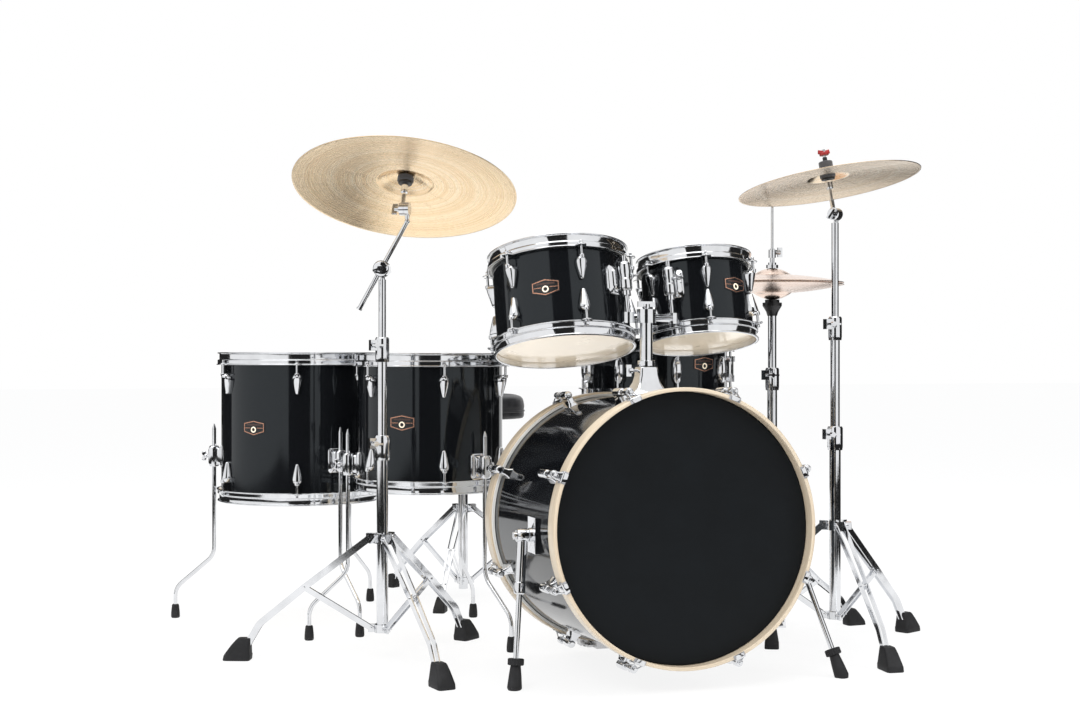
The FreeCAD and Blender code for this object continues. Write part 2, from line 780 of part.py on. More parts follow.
def strainer():
    # fixed housing with the lever's pin, and the butt plate on the far side
    r = shell_radius(snare_dia)
    shell = Part.makeCylinder(r, 200, V(0, 0, -100))
    body = box(V(r - 8, -14, -30), V(r + 9, 14, 34)).cut(shell)
    ears = [box(V(r + 5, s * 11 - 3, 20), V(r + 20, s * 11 + 3, 34)) for s in (-1, 1)]
    pin = cylinder(V(r + 14.5, -14, 27), V(r + 14.5, 14, 27), 2.5)
    slot = box(V(r + 9, -13, -31), V(r + 13, 13, -8))
    body = fused([body] + ears + [pin]).cut(slot)
    butt = box(V(r - 8, -15, -30), V(r + 10, 15, 6)).cut(shell)
    slot = box(V(r + 10, -13, -31), V(r + 13, 13, 7))
    butt = butt.cut(slot)
    out = [placed(body, V(0, 0, 0), V(0, 0, 1), snare_gate_angle)]
    out.append(placed(butt, V(0, 0, 0), V(0, 0, 1), snare_gate_angle + 180))
    return out


def strainer_lever():
    r = shell_radius(snare_dia)
    hub = cylinder(V(r + 14.5, -7.5, 27), V(r + 14.5, 7.5, 27), 5)
    arm = box(V(r + 14, -6, -14), V(r + 18, 6, 27))
    grip = box(V(r + 14, -9, -30), V(r + 20, 9, -14))
    whole = fused([hub, arm, grip])
    whole = whole.cut(cylinder(V(r + 14.5, -9, 27), V(r + 14.5, 9, 27), 2.5 + running_fit))
    return placed(whole, V(0, 0, 0), V(0, 0, 1), snare_gate_angle)


def snare_drum():
    angles = [-186.7 + 45 * k for k in range(8)]
    foot = snare_depth / 2 - flesh_drop + flesh_height - hoop_skirt
    hoop = steel_hoop(snare_dia, snare_depth, angles)
    lower = snare_hoop_cut(hoop.mirror(V(0, 0, 0), V(0, 0, 1)), snare_depth)
    fittings = around(oval_lug(snare_dia, 68), angles)
    for piece in both_ends(tension_rod(snare_dia, snare_depth, foot + hoop_sheet - 34 + 22)):
        fittings.extend(around(piece, angles))
    fittings.append(badge(snare_dia, -71, 14))
    fittings.extend(strainer())
    parts = {
        "snare_shell": drum_shell(snare_dia, snare_depth),
        "snare_heads": group(both_ends(drum_head(snare_dia, snare_depth))),
        "snare_hoops": group([hoop, lower]),
        "snare_fittings": group(fittings),
        "snare_wires": group(snare_wires(snare_depth)),
        "snare_throwoff_lever": strainer_lever(),
    }
    return {name: placed(shape, snare_centre) for name, shape in parts.items()}


def snare_basket():
    # hub, three arms with hooks under and outside the lower hoop, and its tube
    rim = shell_radius(snare_dia) + collar_gap + flesh_width + 1 + 2 * hoop_sheet
    under = snare_centre.z - snare_depth / 2 - hoop_rise
    hub_top = under - 22
    place = snare_stand_place
    solids = [Part.makeCylinder(20, 30, V(0, 0, hub_top - 30)), Part.makeCylinder(9, 235, V(0, 0, hub_top - 260))]
    path = [V(10, 0, hub_top - 14), V(rim - 30, 0, hub_top - 14), V(rim + 6, 0, under), V(rim + 6, 0, under + 24)]
    arm = strip(path, 9, 9, 12)
    inner = rim - 12
    pad = box(V(inner, -8, under - 8), V(rim + 7, 8, under - seat_gap))
    lip = box(V(rim + seat_gap, -8, under - 8), V(rim + 12, 8, under + 30))
    ear = box(V(rim + seat_gap, -7, under + 22), V(rim + 12, 7, under + 30))
    for piece in (arm, pad, lip, ear):
        solids.extend(around(piece, snare_arm_angles))
    solids[0] = solids[0].fuse(Part.makeCylinder(9, 10, V(0, 0, hub_top)))
    return placed(fused(solids), place)


# ---- tripods and stand tubes -------------------------------------------------
def eared_ring(height, tall, outer, bore, angles, ear_reach, ear_thick):
    # collar with one bored ear for each leg
    ring = disc(height, outer, tall, 0)
    ear = box(V(0, -ear_thick / 2, height), V(ear_reach + 7, ear_thick / 2, height + tall))
    hole = cylinder(V(ear_reach, -30, height + tall / 2), V(ear_reach, 30, height + tall / 2),
                    pin_radius + running_fit)
    ear = ear.cut(hole)
    return fused([ring] + around(ear, angles)).cut(Part.makeCylinder(bore, tall, V(0, 0, height)))


def wedge_foot(radius, length=62.0, width=40.0, tall=50.0):
    # rubber wedge that widens to the floor and leans with the leg
    low = [V(radius - length * 0.42, -width / 2, 0), V(radius + length * 0.58, -width / 2, 0),
           V(radius + length * 0.58, width / 2, 0), V(radius - length * 0.42, width / 2, 0)]
    middle = [V(p.x - 2, p.y, 12) for p in low]
    high = [V(radius - length * 0.5, -width / 3, tall), V(radius - length * 0.05, -width / 3, tall),
            V(radius - length * 0.05, width / 3, tall), V(radius - length * 0.5, width / 3, tall)]
    rings = [Part.makePolygon(ring + ring[:1]) for ring in (low, middle, high)]
    return Part.makeLoft(rings, True, True)


def tripod(angles, foot_radius, hub_z, collar_z, tube_radius, knee, scale=1.0):
    # knee: (share of the way out, height) where the brace meets the leg
    collar_reach = tube_radius + 16
    hub_reach = tube_radius + 12
    knee_r = collar_reach + (foot_radius - collar_reach) * knee[0]
    knee_z = knee[1]
    foot_in = foot_radius - 12 * scale
    path = [V(collar_reach, 0, collar_z), V(knee_r, 0, knee_z), V(foot_in - 34 * scale, 0, 82 * scale),
            V(foot_in, 0, 24 * scale)]
    width = strip_width * scale
    spread = 9.0
    toe = 4.0
    swing = math.degrees(math.atan((spread - toe) / (foot_in - collar_reach)))
    inner = toe + (spread - toe) * (foot_in - knee_r) / (foot_in - collar_reach)
    pin_half = spread + strip_thick + 3
    bar = strip(path, width, strip_thick, 40 * scale)
    for where in (path[0], path[1]):
        hole = cylinder(where - V(0, 20, 0), where + V(0, 20, 0), pin_radius + running_fit)
        bar = bar.cut(hole)
    sides = []
    for sign in (1, -1):
        piece = bar.copy()
        piece.translate(V(-foot_in, 0, 0))
        piece.rotate(V(0, 0, 0), V(0, 0, 1), sign * -swing)
        piece.translate(V(foot_in, sign * (toe + strip_thick / 2), 0))
        sides.append(piece)
    brace_path = [V(hub_reach, 0, hub_z), V(knee_r, 0, knee_z)]
    brace = strip(brace_path, width * 0.8, strip_thick * 0.8)
    for where in brace_path:
        brace = brace.cut(cylinder(where - V(0, 20, 0), where + V(0, 20, 0), pin_radius + running_fit))
    slot = inner - strip_thick * 0.8 - 0.9
    braces = [placed(brace, V(0, sign * (slot + strip_thick * 0.4), 0)) for sign in (1, -1)]
    pins = [cylinder(where - V(0, half, 0), where + V(0, half, 0), pin_radius)
            for where, half in ((path[0], pin_half), (path[1], inner + strip_thick + 3), (brace_path[0], slot + 6))]
    foot = wedge_foot(foot_radius, 62 * scale, 40 * scale, 50 * scale)
    for piece in sides:
        foot = foot.cut(piece)
    metal = []
    for piece in sides + braces + pins:
        metal.extend(around(piece, angles))
    collar = eared_ring(collar_z - 11, 22, tube_radius + 7, tube_radius + running_fit, angles, collar_reach,
                        2 * (spread - 1.2))
    hub = eared_ring(hub_z - 9, 18, tube_radius + 5, tube_radius + running_fit, angles, hub_reach,
                     2 * (slot - 0.3))
    screw_angle = angles[0] + 60
    start = polar(tube_radius + running_fit, screw_angle, collar_z)
    way = polar(1, screw_angle)
    collar = collar.cut(cylinder(start, start + way * 20, 3 + running_fit))
    metal.extend([collar, hub, wing_bolt(start, way, 10, 3, 22)])
    return metal, around(foot, angles)


def clamp(low, tube_radius, next_radius, side):
    # clamp on the end of one tube that grips the next, split, with a wing bolt
    outer = tube_radius + clamp_wall
    high = low + clamp_height
    split = low + clamp_below
    body = turned([(tube_radius + running_fit, low), (outer - 1, low), (outer, low + 8), (outer, high - 4),
                   (outer - 2, high), (next_radius + running_fit, high), (next_radius + running_fit, split),
                   (tube_radius + running_fit, split)])
    ear = box(V(0, -7, high - 30), V(outer + 14, 7, high - 6))
    ear = ear.cut(Part.makeCylinder(tube_radius + 1, clamp_height, V(0, 0, low)))
    body = fused([body, ear])
    start = V(outer + 7, 7, high - 18)
    body = body.cut(cylinder(start - V(0, 20, 0), start + V(0, 1, 0), 3 + running_fit))
    bolt = wing_bolt(start - V(0, 12, 0), V(0, 1, 0), 24, 3, 30)
    return [placed(s, V(0, 0, 0), V(0, 0, 1), side) for s in (body, bolt)]


def stand_base(place, angles, foot_radius, hub_z, collar_z, clamp_low, knee, side):
    metal, feet = tripod(angles, foot_radius, hub_z, collar_z, base_tube_radius, knee)
    foot = hub_z - 9
    end = clamp_low + clamp_below
    column = tube(V(0, 0, foot), V(0, 0, end), base_tube_radius, base_tube_radius - tube_wall)
    plug = disc(foot, base_tube_radius - tube_wall - running_fit, 6)
    metal.extend([column, plug] + clamp(clamp_low, base_tube_radius, mid_tube_radius, side))
    return [placed(s, place) for s in metal], [placed(s, place) for s in feet]


def mid_tube(place, lower_clamp, upper_clamp, side):
    start = V(0, 0, lower_clamp + clamp_below - tube_overlap)
    end = V(0, 0, upper_clamp + clamp_below)
    pipe = tube(start, end, mid_tube_radius, mid_tube_radius - tube_wall)
    return placed(group([pipe] + clamp(upper_clamp, mid_tube_radius, top_tube_radius, side)), place)


def bell_drop(bell, reach):
    # depth below its top of the bell's arc at a given radius
    radius, height = bell
    mid = radius * 0.62
    points = [V(cymbal_hole, 0, 0), V(mid, -height * 0.36, 0), V(radius, -height, 0)]
    arc = Part.Arc(*points).toShape().Curve
    return -(arc.Center.y + math.sqrt(arc.Radius ** 2 - (reach - arc.Center.x) ** 2))


def bell_felt(bell, reach, thick, bore):
    # felt under the bell, domed to clear it, with its foot at -thick
    drop = bell_drop(bell, reach)
    return turned([(bore, -thick), (reach, -thick), (reach, -drop - 2 * seat_gap), (cymbal_hole, -seat_gap),
                   (bore, -seat_gap)])


def cymbal_stack(base, way, length, bell):
    # screw with lower cup, sleeve, two felts and a wing nut, from the tilter up
    screw = Part.makeCylinder(screw_radius, length + 52)
    stem = disc(length - felt_thick - cup_thick - stem_length, stem_radius, stem_length, screw_radius)
    cup = disc(length - felt_thick - cup_thick, cup_radius, cup_thick, screw_radius)
    sleeve = disc(length - felt_thick, sleeve_radius, felt_thick * 2 + sheet_metal + 14, screw_radius)
    lower = placed(bell_felt(bell, felt_radius, felt_thick, sleeve_radius), V(0, 0, length))
    upper_z = length + sheet_metal + seat_gap
    upper = disc(upper_z, felt_radius - 2, felt_thick + 4, sleeve_radius)
    nut_z = length + felt_thick * 2 + sheet_metal + 2
    nut = Part.makeCylinder(11, 8, V(0, 0, nut_z))
    wings = box(V(-15, -3.5, nut_z + 1), V(15, 3.5, nut_z + 14))
    nut = fused([nut, wings]).cut(Part.makeCylinder(screw_radius, 60, V(0, 0, nut_z - 20)))
    pieces = [stood(s, base, way) for s in (screw, stem, cup, sleeve, lower, upper, nut)]
    return pieces


def cymbal(dia, bell, bow):
    # sheet of one thickness: spherical bell, then a shallow bow to the edge
    edge = dia / 2
    bell_radius, bell_height = bell
    bell_mid = bell_radius * 0.62
    bow_mid = (bell_radius + edge) / 2
    curves = []
    for shift in (sheet_metal, 0):
        top = V(cymbal_hole, 0, shift)
        shoulder = V(bell_radius, 0, shift - bell_height)
        rim = V(edge, 0, shift - bell_height - bow)
        curves.append(Part.Arc(top, V(bell_mid, 0, shift - bell_height * 0.36), shoulder).toShape())
        curves.append(Part.Arc(shoulder, V(bow_mid, 0, shift - bell_height - bow * 0.37), rim).toShape())
    foot = bell_height + bow
    curves.append(Part.LineSegment(V(edge, 0, sheet_metal - foot), V(edge, 0, -foot)).toShape())
    curves.append(Part.LineSegment(V(cymbal_hole, 0, 0), V(cymbal_hole, 0, sheet_metal)).toShape())
    wire = Part.Wire(Part.__sortEdges__(curves))
    return Part.Face(wire).revolve(V(0, 0, 0), V(0, 0, 1), 360)


def lean_way(lean):
    # unit vector leaning back towards the player by lean[0] and to +X by lean[1]
    a = math.radians(lean[0])
    b = math.radians(lean[1])
    return V(math.tan(b), math.tan(a), 1).normalize()


# ---- ride stand --------------------------------------------------------------
def boom_way():
    a = math.radians(boom_lean)
    flat = polar(1, boom_heading)
    return V(flat.x * math.sin(a), flat.y * math.sin(a), math.cos(a))


def boom_axis():
    return polar(1, boom_heading + 90)


def ride_pivot():
    return V(ride_place.x, ride_place.y, ride_boom_height)


def boom_middle():
    return ride_pivot() - boom_axis() * (ratchet_thick + side_gap + 3)


def boom_end():
    return boom_middle() + boom_way() * boom_above


def ride_tilt_axis():
    return polar(1, ride_tilt_heading)


def ride_tilt_pivot():
    half = (ratchet_thick + side_gap) / 2
    return boom_end() + V(0, 0, boom_neck) - ride_tilt_axis() * half


def standing_half(pivot, axis, radius, start_z):
    # tube up from start_z whose top carries the fixed disc of a tilter
    start = V(pivot.x, pivot.y, start_z)
    top = V(pivot.x, pivot.y, pivot.z - radius - 6)
    pipe = cylinder(start, top, top_tube_radius)
    pipe = pipe.cut(cylinder(start, top - V(0, 0, 30), top_tube_radius - tube_wall))
    face = pivot + axis * (side_gap / 2)
    plate = cylinder(face, face + axis * ratchet_thick, radius)
    middle = face + axis * (ratchet_thick / 2)
    neck = cylinder(middle - V(0, 0, radius + 8), middle, ratchet_thick / 2 - side_gap)
    return fused([pipe, plate, neck])


def ride_top():
    # top tube with the fixed half of the boom tilter
    axis = boom_axis()
    whole = standing_half(ride_pivot(), axis, ratchet_radius + 3, ride_clamps[1] + clamp_below - tube_overlap)
    face = ride_pivot()
    return whole.cut(cylinder(face - axis * 5, face + axis * 30, 4 + running_fit))


def ride_boom():
    # moving half of the tilter, its bolt, the boom rod and half of the cymbal ratchet
    axis = boom_axis()
    way = boom_way()
    face = ride_pivot() - axis * (side_gap / 2)
    plate = cylinder(face, face - axis * (ratchet_thick + 12), ratchet_radius + 3)
    middle = boom_middle()
    end = boom_end()
    rod = cylinder(middle - way * boom_below, end, boom_radius)
    knob = cylinder(middle - way * (boom_below + 4), middle - way * boom_below, boom_radius + 1.5)
    bolt = cylinder(face - axis * 2, ride_pivot() + axis * (ratchet_thick + 6), 4)
    wing = wing_bolt(face - axis * (ratchet_thick + 12), axis * -1, 3, 4, 34)
    nut = wing_bolt(ride_pivot() + axis * (ratchet_thick + side_gap + 1), axis, 1, 5, 34).cut(bolt)
    tilt = ride_tilt_axis()
    knee = Part.makeSphere(boom_radius + 1, end)
    neck = cylinder(end, end + V(0, 0, boom_neck), ratchet_thick / 2 - side_gap)
    half_start = ride_tilt_pivot() + tilt * (side_gap / 2)
    half = cylinder(half_start, half_start + tilt * ratchet_thick, ratchet_radius)
    return group([fused([plate, rod, knob, bolt, wing, knee, neck, half]), nut])


def tilter(pivot, axis, lean, length, bell):
    # moving disc of a cymbal tilter with its screw and stack, and the bell's seat
    way = lean_way(lean)
    face = pivot - axis * (side_gap / 2)
    plate = cylinder(face, face - axis * ratchet_thick, ratchet_radius)
    base = face - axis * (ratchet_thick / 2)
    neck = cylinder(base, base + way * (ratchet_radius + 20), ratchet_thick / 2 - side_gap)
    wing = wing_bolt(face - axis * ratchet_thick, axis * -1, 3, 3, 26)
    stack = cymbal_stack(base, way, length, bell)
    return group([fused([plate, neck, wing, stack[0]])] + stack[1:]), base + way * length


# ---- crash stand -------------------------------------------------------------
def crash_axis():
    return polar(1, crash_tilt_heading)


def crash_pivot():
    return V(crash_place.x, crash_place.y, crash_ratchet_height)


def crash_top():
    return standing_half(crash_pivot(), crash_axis(), ratchet_radius, crash_clamps[1] + clamp_below - tube_overlap)


# ---- hi-hat ------------------------------------------------------------------
hihat_angles = (4, 124, 244)
hihat_foot_radius = 235.0
hihat_hub = 60.0
hihat_collar = 215.0
hihat_rise = hihat_bell[1] + hihat_bow      # lip to the top of the bell


def hihat_cymbals():
    top = cymbal(hihat_dia, hihat_bell, hihat_bow)
    upper = placed(top, hihat_place + V(0, 0, hihat_lip + hihat_gap / 2 + hihat_rise))
    lower = placed(top, hihat_place + V(0, 0, hihat_lip - hihat_gap / 2 - hihat_rise), V(1, 0, 0), 180)
    return upper, lower


def hihat_base():
    # tripod, lower tube, clamp, upper tube, seat cup with felt, and pedal frame
    metal, feet = tripod(hihat_angles, hihat_foot_radius, hihat_hub, hihat_collar, base_tube_radius - 1,
                         (0.5, 118), 0.85)
    outer = base_tube_radius - 1
    metal.append(tube(V(0, 0, 34), V(0, 0, hihat_clamp_low + clamp_below), outer, outer - tube_wall))
    metal.extend(clamp(hihat_clamp_low, outer, hihat_tube_radius, 200))
    seat_low = hihat_seat_top - hihat_seat_height
    metal.append(tube(V(0, 0, hihat_clamp_low - 60), V(0, 0, seat_low), hihat_tube_radius,
                      hihat_tube_radius - tube_wall))
    bore = hihat_rod_radius + seat_gap
    cup_z = hihat_seat_top - 14
    cup = turned([(bore, seat_low), (12, seat_low), (15, seat_low + 10), (24, cup_z - 8), (24, cup_z),
                  (bore, cup_z)])
    low_bell = hihat_lip - hihat_gap / 2 - hihat_rise - sheet_metal
    felt = disc(cup_z, 18, low_bell - cup_z - seat_gap, bore)
    metal.extend([cup, felt])
    heading = polar(1, hihat_pedal_heading)
    frame = box(V(-10, -9, 24), V(26, 9, 42)).cut(Part.makeCylinder(outer - tube_wall, 60))
    frame = frame.cut(Part.makeCylinder(outer + running_fit, 20, V(0, 0, 34)))
    plate = box(V(20, -34, 4), V(292, 34, 9)).fuse(box(V(10, -9, 4), V(26, 9, 26)))
    heel = box(V(262, -34, 9), V(300, 34, 20))
    ears = [box(V(250, s * 31 - 3, 4), V(274, s * 31 + 3, 32)) for s in (-1, 1)]
    pin = cylinder(V(262, -36, 25), V(262, 36, 25), 3)
    base = fused([frame, plate, heel] + ears + [pin])
    base = base.cut(cylinder(V(262, -27.6, 25), V(262, 27.6, 25), 7.5))
    base = fused([base, pin])
    metal.append(placed(base, V(0, 0, 0), V(0, 0, 1), hihat_pedal_heading))
    pads = [disc(0, 7, 4), disc(0, 7, 4)]
    pads[0].translate(heading * 60)
    pads[1].translate(heading * 285)
    return [placed(s, hihat_place) for s in metal], [placed(s, hihat_place) for s in feet + pads]


def hihat_rod():
    # pull rod with the clutch that carries the upper cymbal
    top_bell = hihat_lip + hihat_gap / 2 + hihat_rise
    rod = cylinder(V(0, 0, 78), V(0, 0, hihat_rod_top), hihat_rod_radius)
    sleeve = disc(top_bell - 11, 5.6, 62, hihat_rod_radius)
    under = disc(top_bell - 11, 11, 4, 5.6)
    felt_low = placed(bell_felt(hihat_bell, 13, 7, 5.6), V(0, 0, top_bell))
    felt_high = disc(top_bell + sheet_metal + seat_gap, 15, 8, 5.6)
    nut = disc(top_bell + sheet_metal + seat_gap + 8, 10, 6, 5.6)
    head = disc(top_bell + 28, 9, 20, 5.6)
    start = V(5, 0, top_bell + 42)
    head = head.cut(cylinder(start, start + V(10, 0, 0), 3 + running_fit))
    sleeve = sleeve.cut(cylinder(start, start + V(10, 0, 0), 3 + running_fit))
    bolt = wing_bolt(V(5.1, 0, top_bell + 42), V(1, 0, 0), 7, 3, 24)
    return placed(group([rod, sleeve, under, felt_low, felt_high, nut, head, bolt]), hihat_place)


def hihat_footboard():
    # board hinged at the heel, with the link that pulls the rod down
    board = strip([V(262, 0, 25), V(30, 0, 66)], 6, 56)
    hub = cylinder(V(262, -27, 25), V(262, 27, 25), 6.5)
    whole = fused([board, hub]).cut(cylinder(V(262, -40, 25), V(262, 40, 25), 3 + running_fit))
    room = Part.makeCylinder(base_tube_radius + 6, 200)
    whole = whole.cut(room)
    return placed(whole, hihat_place, V(0, 0, 1), hihat_pedal_heading)


# ---- snare stand -------------------------------------------------------------
snare_leg_angles = (145, 25, 265)
snare_foot_radius = 185.0


def snare_stand():
    metal, feet = tripod(snare_leg_angles, snare_foot_radius, 70, 240, 12.0, (0.5, 140), 0.8)
    top = snare_centre.z - snare_depth / 2 - hoop_rise - 22 - 100
    metal.append(tube(V(0, 0, 58), V(0, 0, top), 12.0, 12.0 - tube_wall))
    collar = turned([(9 + running_fit, top + 14), (16, top + 14), (16, top - 20), (12 + running_fit, top - 20),
                     (12 + running_fit, top), (9 + running_fit, top)])
    metal.append(collar)
    return [placed(s, snare_stand_place) for s in metal], [placed(s, snare_stand_place) for s in feet]


# ---- throne ------------------------------------------------------------------
throne_angles = (243, 3, 123)
throne_foot_radius = 288.0
throne_hub = 46.0
throne_collar = 252.0
throne_tube_radius = 13.0
throne_post_radius = 10.0


def throne_base():
    metal, feet = tripod(throne_angles, throne_foot_radius, throne_hub, throne_collar, throne_tube_radius,
                         (0.5, 150), 0.8)
    top = 400.0
    metal.append(tube(V(0, 0, 22), V(0, 0, top), throne_tube_radius, throne_tube_radius - tube_wall))
    cap = turned([(throne_post_radius + running_fit, top + 6), (throne_tube_radius + 4, top + 6),
                  (throne_tube_radius + 4, top - 34), (throne_tube_radius + running_fit, top - 34),
                  (throne_tube_radius + running_fit, top), (throne_post_radius + running_fit, top)])
    post = cylinder(V(0, 0, top - 120), V(0, 0, seat_low - 4), throne_post_radius)
    metal.extend([cap, post])
    return [placed(s, throne_place) for s in metal], [placed(s, throne_place) for s in feet]


def throne_seat():
    # round cushion on a steel plate with the socket that turns on the post
    cushion = disc(seat_low, seat_radius, seat_high - seat_low)
    rims = [e for e in cushion.Edges if len(e.Vertexes) == 1]
    cushion = cushion.makeFillet(seat_round, [e for e in rims if e.BoundBox.ZMin > seat_low + 1])
    socket = disc(seat_low - 56, throne_post_radius + 6, 56, 0)
    plate = disc(seat_low - 5, 70, 5)
    post = cylinder(V(0, 0, 0), V(0, 0, seat_low - 4), throne_post_radius + running_fit)
    metal = fused([socket, plate]).cut(post)
    return placed(group([cushion, metal]), throne_place)


# ---- kick pedal --------------------------------------------------------------
def kick_frame(hoops):
    half = pedal_width / 2
    plate = box(V(-half, 262, 4), V(half, heel_place.y + 14, 9))
    posts = [box(V(s * (half + 4) - 5, axle_place.y - 9, 4), V(s * (half + 4) + 5, axle_place.y + 9, axle_place.z + 12))
             for s in (-1, 1)]
    bridge = box(V(-half - 9, axle_place.y - 12, 4), V(half + 9, axle_place.y + 12, 12))
    jaw = box(V(-24, 236, 4), V(24, 300, 30)).cut(box(V(-30, 268, 12), V(30, 288, 40)))
    upper = box(V(-16, 236, 33.5), V(16, 262, 40))
    screw = cylinder(V(0, 272, 12), V(0, 272, 41.5), 3)
    strap = box(V(-16, 256, 33.5), V(16, 284, 40)).cut(cylinder(V(0, 272, 30), V(0, 272, 48), 3 + running_fit))
    ears = [box(V(s * (half - 4) - 3, heel_place.y - 10, 4), V(s * (half - 4) + 3, heel_place.y + 10, 34)) for s in (-1, 1)]
    pin = cylinder(heel_place - V(half, 0, 0), heel_place + V(half, 0, 0), 3)
    block = fused([plate, bridge, jaw] + posts + ears)
    holes = cylinder(axle_place - V(60, 0, 0), axle_place + V(60, 0, 0), 5 + running_fit)
    block = block.cut(holes).cut(hoops)
    top_jaw = fused([upper, strap]).cut(hoops)
    frame = fused([block, screw])
    frame = frame.cut(cylinder(heel_place - V(half - 8, 0, 0), heel_place + V(half - 8, 0, 0), 8))
    frame = fused([frame, pin])
    feet = [Part.makeCylinder(8, 4, V(s * (half - 10), y, 0)) for s in (-1, 1) for y in (300, heel_place.y)]
    return group([frame, top_jaw]), feet


def kick_footboard():
    half = pedal_width / 2 - 8
    board = strip([V(heel_place.y, 0, heel_place.z), V(toe_place.y, 0, toe_place.z)], 6, 2 * half)
    board.rotate(V(0, 0, 0), V(0, 0, 1), 90)
    hub = cylinder(heel_place - V(half - 0.3, 0, 0), heel_place + V(half - 0.3, 0, 0), 6.5)
    chain = box(V(-5, toe_place.y - 5, toe_place.z - 4), V(5, toe_place.y - 1, axle_place.z + 10))
    whole = fused([board, hub, chain])
    return whole.cut(cylinder(heel_place - V(60, 0, 0), heel_place + V(60, 0, 0), 3 + running_fit))


def kick_beater():
    # axle with sprocket, shaft and felt head
    half = pedal_width / 2 + 9
    axle = cylinder(axle_place - V(half, 0, 0), axle_place + V(half, 0, 0), 5)
    wheel = cylinder(axle_place - V(7, 0, 0), axle_place + V(7, 0, 0), sprocket_radius)
    lean = math.radians(beater_lean)
    way = V(0, math.sin(lean), math.cos(lean))
    shaft = cylinder(axle_place, axle_place + way * beater_reach, 4.5)
    front = V(0, -way.z, way.y)
    centre = axle_place + way * beater_reach
    head = cylinder(centre - front * 22, centre + front * 24, 24)
    return fused([axle, wheel, shaft, head])


# ---- the whole kit -----------------------------------------------------------
def build():
    parts = bass_drum()
    stand_feet = []
    parts["tom_post"] = tom_holder()
    for name, values in {
            "tom12": (tom12_dia, tom12_depth, -150.3, tom12_centre, tom12_tilt, tom12_bracket_angle,
                      tom12_bracket_rise, -121, -2),
            "tom10": (tom10_dia, tom10_depth, -162, tom10_centre, tom10_tilt, tom10_bracket_angle,
                      tom10_bracket_rise, -68, 11)}.items():
        dia, depth, first, centre, tilt, angle, rise, badge_angle, badge_height = values
        parts[name + "_arm"] = tom_arm(centre, tilt, dia, angle, rise)
        pieces = rack_tom(dia, depth, first, centre, tilt, angle, rise, badge_angle, badge_height)
        for piece, shape in pieces.items():
            parts[name + "_" + piece] = shape
    first_tom, first_legs = floor_tom(floor14_dia, floor14_depth, -153.6, floor14_centre, -125.6, 2,
                                      (174, -64, 54), floor14_foot_radius)
    second_tom, second_legs = floor_tom(floor16_dia, floor16_depth, -161, floor16_centre, -133.6, 2,
                                        (160, -73, 45), floor16_foot_radius)
    for k, letter in enumerate("abc"):
        parts["floor14_leg_" + letter] = first_legs[k]
        parts["floor16_leg_" + letter] = second_legs[k]
    for piece, name in (("shell", "shells"), ("heads", "heads"), ("hoops", "hoops"), ("fittings", "fittings")):
        parts["floor_tom_" + name] = group([first_tom[piece], second_tom[piece]])
    parts.update(snare_drum())
    parts["snare_basket"] = snare_basket()

    base, feet = stand_base(ride_place, (160, -80, 40), 325, 74, 277, ride_clamps[0], (0.5, 165), 190)
    parts["ride_stand_base"] = group(base)
    stand_feet.extend(feet)
    parts["ride_mid_tube"] = mid_tube(ride_place, ride_clamps[0], ride_clamps[1], 190)
    parts["ride_top_tube"] = ride_top()
    parts["ride_boom"] = ride_boom()
    top, seat = tilter(ride_tilt_pivot(), ride_tilt_axis(), ride_cymbal_lean, ride_rod_length, ride_bell)
    parts["ride_cymbal_tilter"] = top
    parts["ride_cymbal"] = stood(cymbal(ride_dia, ride_bell, ride_bow), seat, lean_way(ride_cymbal_lean))

    base, feet = stand_base(crash_place, (265.5, 25.5, 145.5), 295, 74, 287, crash_clamps[0], (0.5, 165), 190)
    parts["crash_stand_base"] = group(base)
    stand_feet.extend(feet)
    parts["crash_mid_tube"] = mid_tube(crash_place, crash_clamps[0], crash_clamps[1], 190)
    parts["crash_top_tube"] = crash_top()
    top, seat = tilter(crash_pivot(), crash_axis(), crash_cymbal_lean, crash_rod_length, crash_bell)
    parts["crash_cymbal_tilter"] = top
    parts["crash_cymbal"] = stood(cymbal(crash_dia, crash_bell, crash_bow), seat, lean_way(crash_cymbal_lean))

    base, feet = hihat_base()
    parts["hihat_stand_base"] = group(base)
    stand_feet.extend(feet)
    parts["hihat_top_cymbal"], parts["hihat_bottom_cymbal"] = hihat_cymbals()
    parts["hihat_rod"] = hihat_rod()
    parts["hihat_footboard"] = hihat_footboard()

    base, feet = snare_stand()
    parts["snare_stand_base"] = group(base)
    stand_feet.extend(feet)
    base, feet = throne_base()
    parts["throne_base"] = group(base)
    stand_feet.extend(feet)
    parts["throne_seat"] = throne_seat()

    frame, feet = kick_frame(parts["bass_hoops"])
    parts["kick_pedal_frame"] = frame
    stand_feet.extend(feet)
    parts["kick_footboard"] = kick_footboard()
    parts["kick_beater"] = kick_beater()
    parts["stand_feet"] = group(stand_feet)
    return parts


def footprint_middle(parts):
    # middle of the box round everything, on the floor
    whole = FreeCAD.BoundBox()
    for shape in parts.values():
        whole.add(shape.optimalBoundingBox(False))
    return V(whole.Center.x, whole.Center.y, whole.ZMin)


parts = build()
origin = footprint_middle(parts)
os.makedirs("parts", exist_ok=True)
for name, shape in parts.items():
    shape.translate(origin * -1)
    shape.exportStep("parts/" + name + ".step")
print(len(parts), "nodes, origin moved by", origin)
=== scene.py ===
import math
import bmesh
import bpy
import numpy as np
from mathutils import Matrix, Vector


